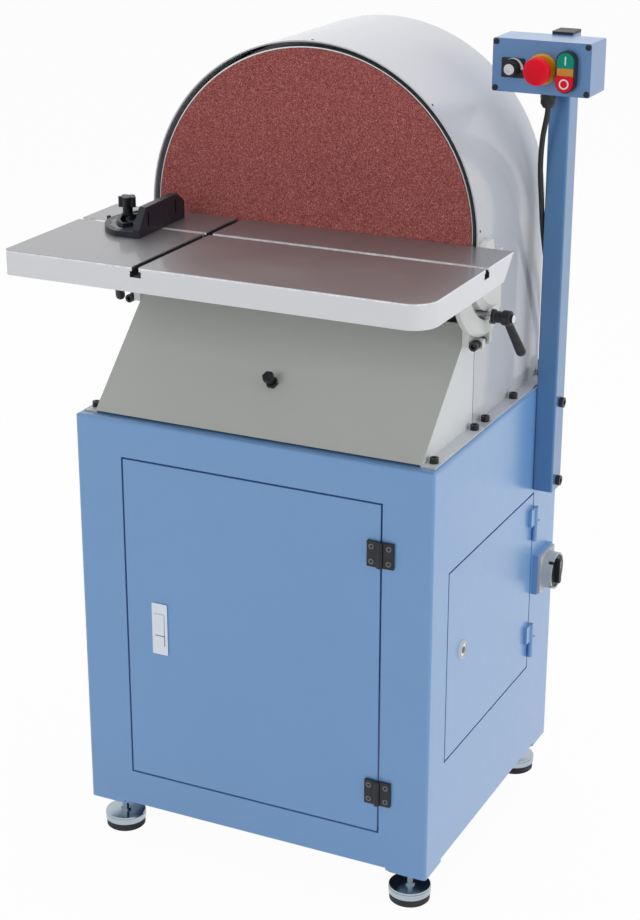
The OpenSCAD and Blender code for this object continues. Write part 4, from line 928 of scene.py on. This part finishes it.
@dataclass
class Cabinet:
    """Cabinet with its feet, doors, hinges, latch and lock."""

    hinge_half: float = 0.0195
    hinge_rows: tuple[float, ...] = (-0.0115, 0.0115)
    hinge_reach: float = 0.0135
    barrel_r: float = 0.0047
    leaf_t: float = 0.005
    rim_mm: tuple[Span, ...] = ((2.3, 0), (2.3, 0.5), (3.0, 0.9), (4.1, 0.6), (4.4, 0), (2.3, 0))
    bezel_r: float = 0.0155
    bezel_h: float = 0.0034
    bezel_power: float = 2.5
    bezel_steps: int = 9

    def dress(self) -> None:
        """Puts the finishes on."""
        BLUE.dress("cabinet_shell", "corner_plates", "front_door")
        BLUE.dress("side_door", "side_hinge_pins", "switch_box")
        # The post wears the darker blue as painted shade.
        SHADED_BLUE_POST.dress("control_post")
        FOOT_PLATE.dress("levelling_feet")
        CHROME.dress("lock_body")
        SATIN.dress("latch_housing", "latch_paddle", "latch_button")
        STEEL.dress("foot_nuts")
        WORN_STEEL.dress("lock_core")
        RUBBER.dress("foot_pads")
        ZINC.dress("electrics_plate")
        BLACK_PLASTIC.dress("inverter")
        BLACK_STEEL.dress("front_hinge_leaves", "door_hinge_leaves", "cap_screws", "stop_bolts")

    def build(self) -> None:
        """Adds the worn rims of the hinge screws and the bezel of the side lock."""
        self._hinge_rims("front_hinge_leaves", "frame", 1.0)
        self._hinge_rims("door_hinge_leaves", "front_door", -1.0)
        self._lock_bezel()

    def _hinge_rims(self, node: str, body: str, side: float) -> None:
        """Worn rims about the two screws of each leaf on one side: one profile turned about each screw.

        Args:
            node: Solid of the leaves.
            body: Body that the leaves ride on.
            side: 1 for leaves to the right of their pins, and -1 for leaves to the left.
        """
        low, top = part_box(node)
        pin = low.x + self.barrel_r if side > 0 else top.x - self.barrel_r
        x, y = pin + side * self.hinge_reach, top.y - self.leaf_t
        profile = np.array(self.rim_mm) / 1000
        rims = [
            moved(revolve(profile), Facing.FRONT.turn, (x, y, level + row))
            for level in (low.z + self.hinge_half, top.z - self.hinge_half)
            for row in self.hinge_rows
        ]
        piece(f"{node}_screws", joined(rims), body, WORN_STEEL)

    def _lock_bezel(self) -> None:
        """Domed ring about the side lock: a falling curve from its body to the edge, turned about it."""
        low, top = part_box("lock_body")
        inner = (top.y - low.y) / 2
        share = np.linspace(0, 1, self.bezel_steps)
        radius = inner + (self.bezel_r - inner) * share
        height = self.bezel_h * np.sqrt(1 - share**self.bezel_power)
        dome = np.column_stack([radius, height])
        profile = np.concatenate([[[inner, 0]], dome, [[inner, 0]]])
        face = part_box("cabinet_shell")[1].x
        place = (face, (low.y + top.y) / 2, (low.z + top.z) / 2)
        ring = moved(revolve(profile, FINE_SIDES), Facing.RIGHT.turn, place)
        piece("lock_bezel", ring, "side_door", FOOT_PLATE)


@dataclass
class Hood:
    """Hood, covers, motor and disc."""

    rim_angles: tuple[float, ...] = (-87.0, -45.0, 0.0, 45.0, 87.0)
    back_angles: tuple[float, ...] = (-75.0, -45.0, -15.0, 15.0, 45.0, 75.0)
    rim_head: float = 0.0021
    rim_head_h: float = 0.0006
    rim_inset: float = 0.009
    back_head: float = 0.0045
    back_head_h: float = 0.0022
    back_inset: float = 0.014

    def dress(self) -> None:
        """Puts the finishes on."""
        GREY.dress("hood_shell", "hood_back", "dust_port")
        COVER_GREY.dress("lower_cover")
        CAST_GREY.dress("bulkhead")
        MOTOR_GREY.dress("motor_housing", "motor_end_bells", "motor_fan_cover", "motor_terminal_box")
        STEEL.dress("motor_shaft", "motor_bearings")
        BLACK_PLASTIC.dress("motor_fan")
        DISC_METAL.dress("disc_plate")
        Abrasive("red_abrasive").dress("abrasive_sheet")

    def build(self) -> None:
        """Adds the small screws round the front and the back of the hood."""
        low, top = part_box("hood_shell")
        axis = middle("abrasive_sheet")
        reach = top.z - axis[2]
        rim = []
        for angle in self.rim_angles:
            turn = turn_about(1, angle)
            place = np.array([axis[0], low.y + self.rim_inset, axis[2]]) + turn @ np.array([0, 0, reach])
            rim.append(moved(screw_head(self.rim_head, self.rim_head_h), turn, place))
        piece("hood_rim_screws", joined(rim), "frame", BLACK_STEEL)
        back = []
        for angle in self.back_angles:
            arm = turn_about(1, angle) @ np.array([0, 0, reach - self.back_inset])
            place = np.array([axis[0], top.y, axis[2]]) + arm
            back.append(moved(screw_head(self.back_head, self.back_head_h), Facing.BACK.turn, place))
        piece("hood_back_screws", joined(back), "frame", BLACK_STEEL)


@dataclass
class WorkTable:
    """Tilting table with its trunnions, brackets, clamps and levers."""

    hub_beyond_stud: float = 0.0085
    end_screw_in: float = 0.0004
    end_screw_h: float = 0.0016
    end_screw_mm: tuple[Span, ...] = (
        (0, 0.3), (2.2, 0.3), (2.6, 0.9), (5.2, 0.9), (6.0, 0.4), (6.0, 0), (0, 0),
    )

    def dress(self) -> None:
        """Puts the finishes on."""
        GroundTop("ground_table").dress("table")
        CAST_GREY.dress("table_trunnions", "trunnion_brackets")
        STEEL.dress("clamp_studs")
        BLACK_PLASTIC.dress("clamp_lever_left", "clamp_lever_right")

    def build(self) -> None:
        """Adds the bright screws in the ends of the lever hubs: radius, and share of their height, turned."""
        low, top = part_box("clamp_studs")
        hub = middle("clamp_studs")
        profile = np.array(self.end_screw_mm) * [1 / 1000, self.end_screw_h]
        reach = self.hub_beyond_stud - self.end_screw_in
        ends = (("left", Facing.LEFT, low.x - reach), ("right", Facing.RIGHT, top.x + reach))
        for side, facing, end in ends:
            cap = moved(revolve(profile), facing.turn, (end, hub[1], hub[2]))
            piece(f"lever_end_screw_{side}", cap, f"lever_{side}", CHROME)


@dataclass
class MitreGauge:
    """Mitre gauge with the printed scale on its base."""

    first: float = 120.0
    last: float = 244.0
    step: float = 4.0
    inner: float = 0.0625
    knob_to_pivot: float = 0.050
    base_t: float = 0.008
    long_tick: float = 0.0085
    short_tick: float = 0.0055
    tick_w: float = 0.0009
    print_h: float = 0.00018
    long_each: int = 5
    black_above_table: float = 0.0003

    def dress(self) -> None:
        """Puts the finishes on."""
        GAUGE_BLACK.dress("mitre_head")
        BLACK_PLASTIC.dress("mitre_knob")
        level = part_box("table")[1].z + self.black_above_table
        TwoTone("gauge_bar_steel", level=level).dress("mitre_bar")

    def build(self) -> None:
        """Adds the scale: one tick for each step round the arc, each fifth one longer."""
        low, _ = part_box("mitre_head")
        knob = middle("mitre_knob")
        centre = np.array([knob[0] + self.knob_to_pivot, knob[1], low.z + self.base_t])
        ticks = []
        for number, angle in enumerate(np.arange(self.first, self.last + self.step / 2, self.step)):
            length = self.short_tick if number % self.long_each else self.long_tick
            tick = slab(length, self.tick_w, self.print_h, PRINT_EDGE)
            reach = np.array([self.inner + length / 2, 0, 0])
            turn = turn_about(2, angle)
            ticks.append(moved(tick, turn, centre + turn @ reach))
        piece("mitre_scale", joined(ticks), "mitre_head", WHITE_MARK)


@dataclass
class Controls:
    """Control box on its post, with the knob, buttons, glands and the cable."""

    cable_start: Point = (0.300, 0.373, 1.153)
    cable_end: Point = (0.270, 0.494, 0.728)
    cable_shares: tuple[Point, ...] = (
        (0, 0, 0), (0, 0, 0.03), (0.27, 0.05, 0.125), (0.44, 0.14, 0.235), (0.49, 0.26, 0.35),
        (0.53, 0.38, 0.46), (0.6, 0.59, 0.59), (0.77, 0.81, 0.74), (0.95, 0.97, 0.89), (1, 1, 0.945),
        (1, 1, 1),
    )
    machine_middle: Point = (0.01649485, 0.22, 0.0)
    cable_radius: float = 0.004
    span_steps: int = 8
    lid_screw_in: float = 0.005
    lid_rim_mm: tuple[Span, ...] = ((3.4, 0), (3.4, 1.6), (3.8, 2.0), (4.3, 1.4), (4.4, 0), (3.4, 0))
    band_r: float = 0.0135
    band_w: float = 0.0046
    band_from: float = 132.0
    band_to: float = -8.0
    knob_cap_r: float = 0.0078
    knob_cap_h: float = 0.0009
    print_h: float = 0.0002
    mark_shift: float = 0.0005
    bar_w: float = 0.0022
    bar_l: float = 0.0125
    ring_in: float = 0.0052
    ring_w: float = 0.0021

    def cable(self) -> None:
        """Carries a circle along a smooth curve: each span is a cubic of the four cable points about it.

        The ends are stated as in the part's source, whose origin is machine_middle away from the frame's.
        """
        start, end = np.array([self.cable_start, self.cable_end]) - self.machine_middle
        points = start + np.array(self.cable_shares, float) * (end - start)
        padded = np.concatenate([points[:1], points, points[-1:]])
        before, here, ahead, after = (padded[k : len(padded) - 3 + k, None] for k in range(4))
        share = np.linspace(0, 1, self.span_steps, endpoint=False)[None, :, None]
        curve = here + (ahead - before) * share / 2
        curve = curve + (2 * before - 5 * here + 4 * ahead - after) * share**2 / 2
        curve = curve + (3 * here - before - 3 * ahead + after) * share**3 / 2
        path = np.concatenate([curve.reshape(-1, 3), points[-1:]])
        made = piece("control_cable_jacket", tube(path, self.cable_radius), "frame", JACKET)
        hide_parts("control_cable")

    def dress(self) -> None:
        """Puts the finishes on."""
        # Box and lid wear the darker blue as painted shade.
        SHADED_BLUE_BOX.dress("control_box", "control_lid")
        BLACK_PLASTIC.dress("post_cap", "cable_glands")
        BLACK_PLASTIC.dress("dial_plate", "speed_knob", "button_frame", "estop_stem")
        YELLOW.dress("estop_collar")
        RED.dress("estop_head", "stop_button")
        GREEN.dress("start_button")
        AMBER.dress("indicator_lens")
        JACKET.dress("control_cable")

    def build(self) -> None:
        """Adds the rims of the lid's screws, the dial's scale, the knob's cap and the buttons' marks."""
        self._lid_screws()
        self._dial()
        self._buttons()

    def _lid_screws(self) -> None:
        """Rounded black rim about each screw in the lid's corners: one profile turned about the screw."""
        low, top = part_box("control_lid")
        profile = np.array(self.lid_rim_mm) / 1000
        places = [
            (x, low.y, z)
            for x in (low.x + self.lid_screw_in, top.x - self.lid_screw_in)
            for z in (low.z + self.lid_screw_in, top.z - self.lid_screw_in)
        ]
        rims = [moved(revolve(profile), Facing.FRONT.turn, place) for place in places]
        piece("lid_screw_rims", joined(rims), "frame", BLACK_GLOSS)

    def _dial(self) -> None:
        """White band that grows round the knob, and a turned cap on the knob."""
        plate_low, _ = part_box("dial_plate")
        centre = middle("dial_plate")
        face = np.array([centre[0], plate_low.y, centre[2]])
        band = growing_arc(self.band_r, self.band_w, self.band_from, self.band_to, self.print_h)
        piece("dial_scale", moved(band, Facing.FRONT.turn, face), "frame", WHITE_MARK)
        knob_low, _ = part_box("speed_knob")
        front = np.array([centre[0], knob_low.y, centre[2]])
        groove = [[0, 0.8], [0.55, 0.8], [0.6, 0.62], [0.65, 0.8]]
        rim = [[0.93, 0.8], [1.0, 0.5], [1.0, 0], [0, 0]]
        profile = np.array(groove + rim) * [self.knob_cap_r, self.knob_cap_h]
        cap = moved(revolve(profile, FINE_SIDES), Facing.FRONT.turn, front)
        turned = Turned("turned_knob_cap", centre=tuple(front))
        piece("speed_knob_cap", cap, "speed_knob", turned)

    def _buttons(self) -> None:
        """White bar on the start button, and white ring on the stop button."""
        start, stop = middle("start_button"), middle("stop_button")
        bar_at = (start[0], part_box("start_button")[0].y, start[2] - self.mark_shift)
        bar = moved(slab(self.bar_w, self.bar_l, self.print_h, PRINT_EDGE), Facing.FRONT.turn, bar_at)
        piece("start_mark", bar, "start_button", WHITE_MARK)
        ring_at = (stop[0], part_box("stop_button")[0].y, stop[2] + self.mark_shift)
        corners = np.array([[0, 0], [0, 1], [1, 1], [1, 0], [0, 0]])
        profile = [self.ring_in, 0] + corners * [self.ring_w, self.print_h]
        ring = moved(revolve(profile, FINE_SIDES), Facing.FRONT.turn, ring_at)
        piece("stop_mark", ring, "stop_button", WHITE_MARK)


@dataclass
class MainSwitch:
    """Main switch on the right side of the cabinet."""

    pointer_up: float = 0.011
    pointer_w: float = 0.0016
    pointer_l: float = 0.012
    print_h: float = 0.0002

    def dress(self) -> None:
        """Puts the finishes on."""
        GREY_PLASTIC.dress("switch_plate")
        BLACK_PLASTIC.dress("switch_knob")

    def build(self) -> None:
        """Adds a white pointer line on the handle."""
        centre = middle("switch_knob")
        place = (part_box("switch_knob")[1].x, centre[1], centre[2] + self.pointer_up)
        mark = slab(self.pointer_w, self.pointer_l, self.print_h, PRINT_EDGE)
        line = moved(mark, Facing.RIGHT.turn, place)
        piece("switch_pointer", line, "main_switch", WHITE_MARK)


@dataclass(frozen=True)
class Lamp:
    """Square lamp: its name, place, size in metres and power in watts."""

    name: str
    place: Point
    size: float
    power: float


@dataclass
class Studio:
    """Floor, light and the camera at the photograph's viewing angle."""

    camera_at: Point = (1.24716, -2.5954, 1.6976)
    yaw: float = -0.4539
    pitch: float = 0.3674
    focal_px: float = 2003.33
    middle_px: tuple[float, float] = (313.24, 471.98)
    image_px: tuple[int, int] = (640, 920)
    sensor: float = 36.0
    floor_half: float = 30.0
    floor_white: float = 0.97
    floor_grey: Colour = (0.86, 0.86, 0.86)
    floor_rough: float = 0.9
    floor_shine: float = 0.1
    sky: float = 0.26
    lamp_aim: Point = (0.0, 0.0, 0.7)
    lamps: tuple[Lamp, ...] = (
        Lamp("key", (3.2, 0.2, 0.8), 3.0, 47.0),
        Lamp("front", (-0.8, -4.2, 2.2), 2.6, 52.0),
        Lamp("top", (0.0, 0.4, 4.0), 2.6, 56.0),
        Lamp("back", (-2.2, 3.2, 2.4), 2.4, 25.0),
    )

    def camera(self) -> None:
        """Places the camera from its yaw and pitch, with the lens and shift that the image's size gives."""
        data = bpy.data.cameras.new("photo_camera")
        data.sensor_width = self.sensor
        long_side = max(self.image_px)
        data.lens = self.focal_px * self.sensor / long_side
        data.shift_x = (self.image_px[0] / 2 - self.middle_px[0]) / long_side
        data.shift_y = (self.middle_px[1] - self.image_px[1] / 2) / long_side
        flat = math.cos(self.pitch)
        ahead = Vector((math.sin(self.yaw) * flat, math.cos(self.yaw) * flat, -math.sin(self.pitch)))
        made = bpy.data.objects.new("photo_camera", data)
        made.location = self.camera_at
        made.rotation_euler = ahead.to_track_quat("-Z", "Y").to_euler()
        bpy.context.scene.collection.objects.link(made)
        bpy.context.scene.camera = made

    def floor(self) -> None:
        """Pale floor that keeps the shadow, white where the camera or a reflection looks at it."""
        data = bpy.data.meshes.new("floor")
        corners = [(x, y, 0.0) for x, y in ((-1, -1), (1, -1), (1, 1), (-1, 1))]
        data.from_pydata((np.array(corners) * self.floor_half).tolist(), [], [(0, 1, 2, 3)])
        made = bpy.data.objects.new("floor", data)
        material = bpy.data.materials.new("pale_floor")
        material.use_nodes = True
        graph = Graph(material.node_tree)
        seen = self._seen(graph)
        graph.surface(
            Base_Color=(*self.floor_grey, 1.0),
            Roughness=self.floor_rough,
            Specular_IOR_Level=self.floor_shine,
        )
        white = graph.node("ShaderNodeEmission", {}, {"Color": WHITE, "Strength": 1.0})
        plain = Wire(graph, graph.shader.outputs[0])
        mixed = graph.node("ShaderNodeMixShader", {}, {0: seen * self.floor_white, 1: plain, 2: white})
        out = next(n for n in graph.tree.nodes if n.type == "OUTPUT_MATERIAL")
        graph.tree.links.new(mixed.socket, out.inputs["Surface"])
        data.materials.append(material)
        bpy.context.scene.collection.objects.link(made)

    def _seen(self, graph: Graph) -> Wire:
        """One where the camera, a reflection or a see-through ray looks, and nothing elsewhere.

        Args:
            graph: Node tree of the floor or the world.

        Returns:
            The mask as a wire.
        """
        kinds = ("Is Camera Ray", "Is Glossy Ray", "Is Transmission Ray")
        camera, glossy, through = (graph.node("ShaderNodeLightPath", {}, {}, kind) for kind in kinds)
        return camera.high(glossy).high(through)

    def light(self) -> None:
        """Soft white world and large lamps that look at the middle of the machine."""
        world = bpy.data.worlds.new("studio")
        bpy.context.scene.world = world
        world.use_nodes = True
        graph = Graph(world.node_tree, "BACKGROUND")
        graph.surface(Color=WHITE, Strength=graph.between(self.sky, 1.0, self._seen(graph)))
        for lamp in self.lamps:
            data = bpy.data.lights.new(f"{lamp.name}_lamp", "AREA")
            data.size = lamp.size
            data.energy = lamp.power
            made = bpy.data.objects.new(f"{lamp.name}_lamp", data)
            made.location = lamp.place
            ahead = Vector(self.lamp_aim) - Vector(lamp.place)
            made.rotation_euler = ahead.to_track_quat("-Z", "Y").to_euler()
            made.visible_glossy = False
            bpy.context.scene.collection.objects.link(made)
        bpy.context.scene.view_settings.view_transform = "Standard"


def main() -> None:
    """Builds the studio, dresses the solids and adds the small pieces, in order."""
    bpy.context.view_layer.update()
    studio = Studio()
    studio.camera()
    controls = Controls()
    controls.cable()
    studio.floor()
    studio.light()
    for part in (Cabinet(), Hood(), WorkTable(), MitreGauge(), controls, MainSwitch()):
        part.dress()
        part.build()
        LOG.info("dressed %s", type(part).__name__)


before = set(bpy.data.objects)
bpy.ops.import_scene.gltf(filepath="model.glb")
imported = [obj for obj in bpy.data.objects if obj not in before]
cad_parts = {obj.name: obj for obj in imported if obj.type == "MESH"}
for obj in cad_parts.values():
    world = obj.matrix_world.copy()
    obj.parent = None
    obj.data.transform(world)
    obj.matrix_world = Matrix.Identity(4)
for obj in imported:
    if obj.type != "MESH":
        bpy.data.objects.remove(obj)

if __name__ == "__main__":
    main()
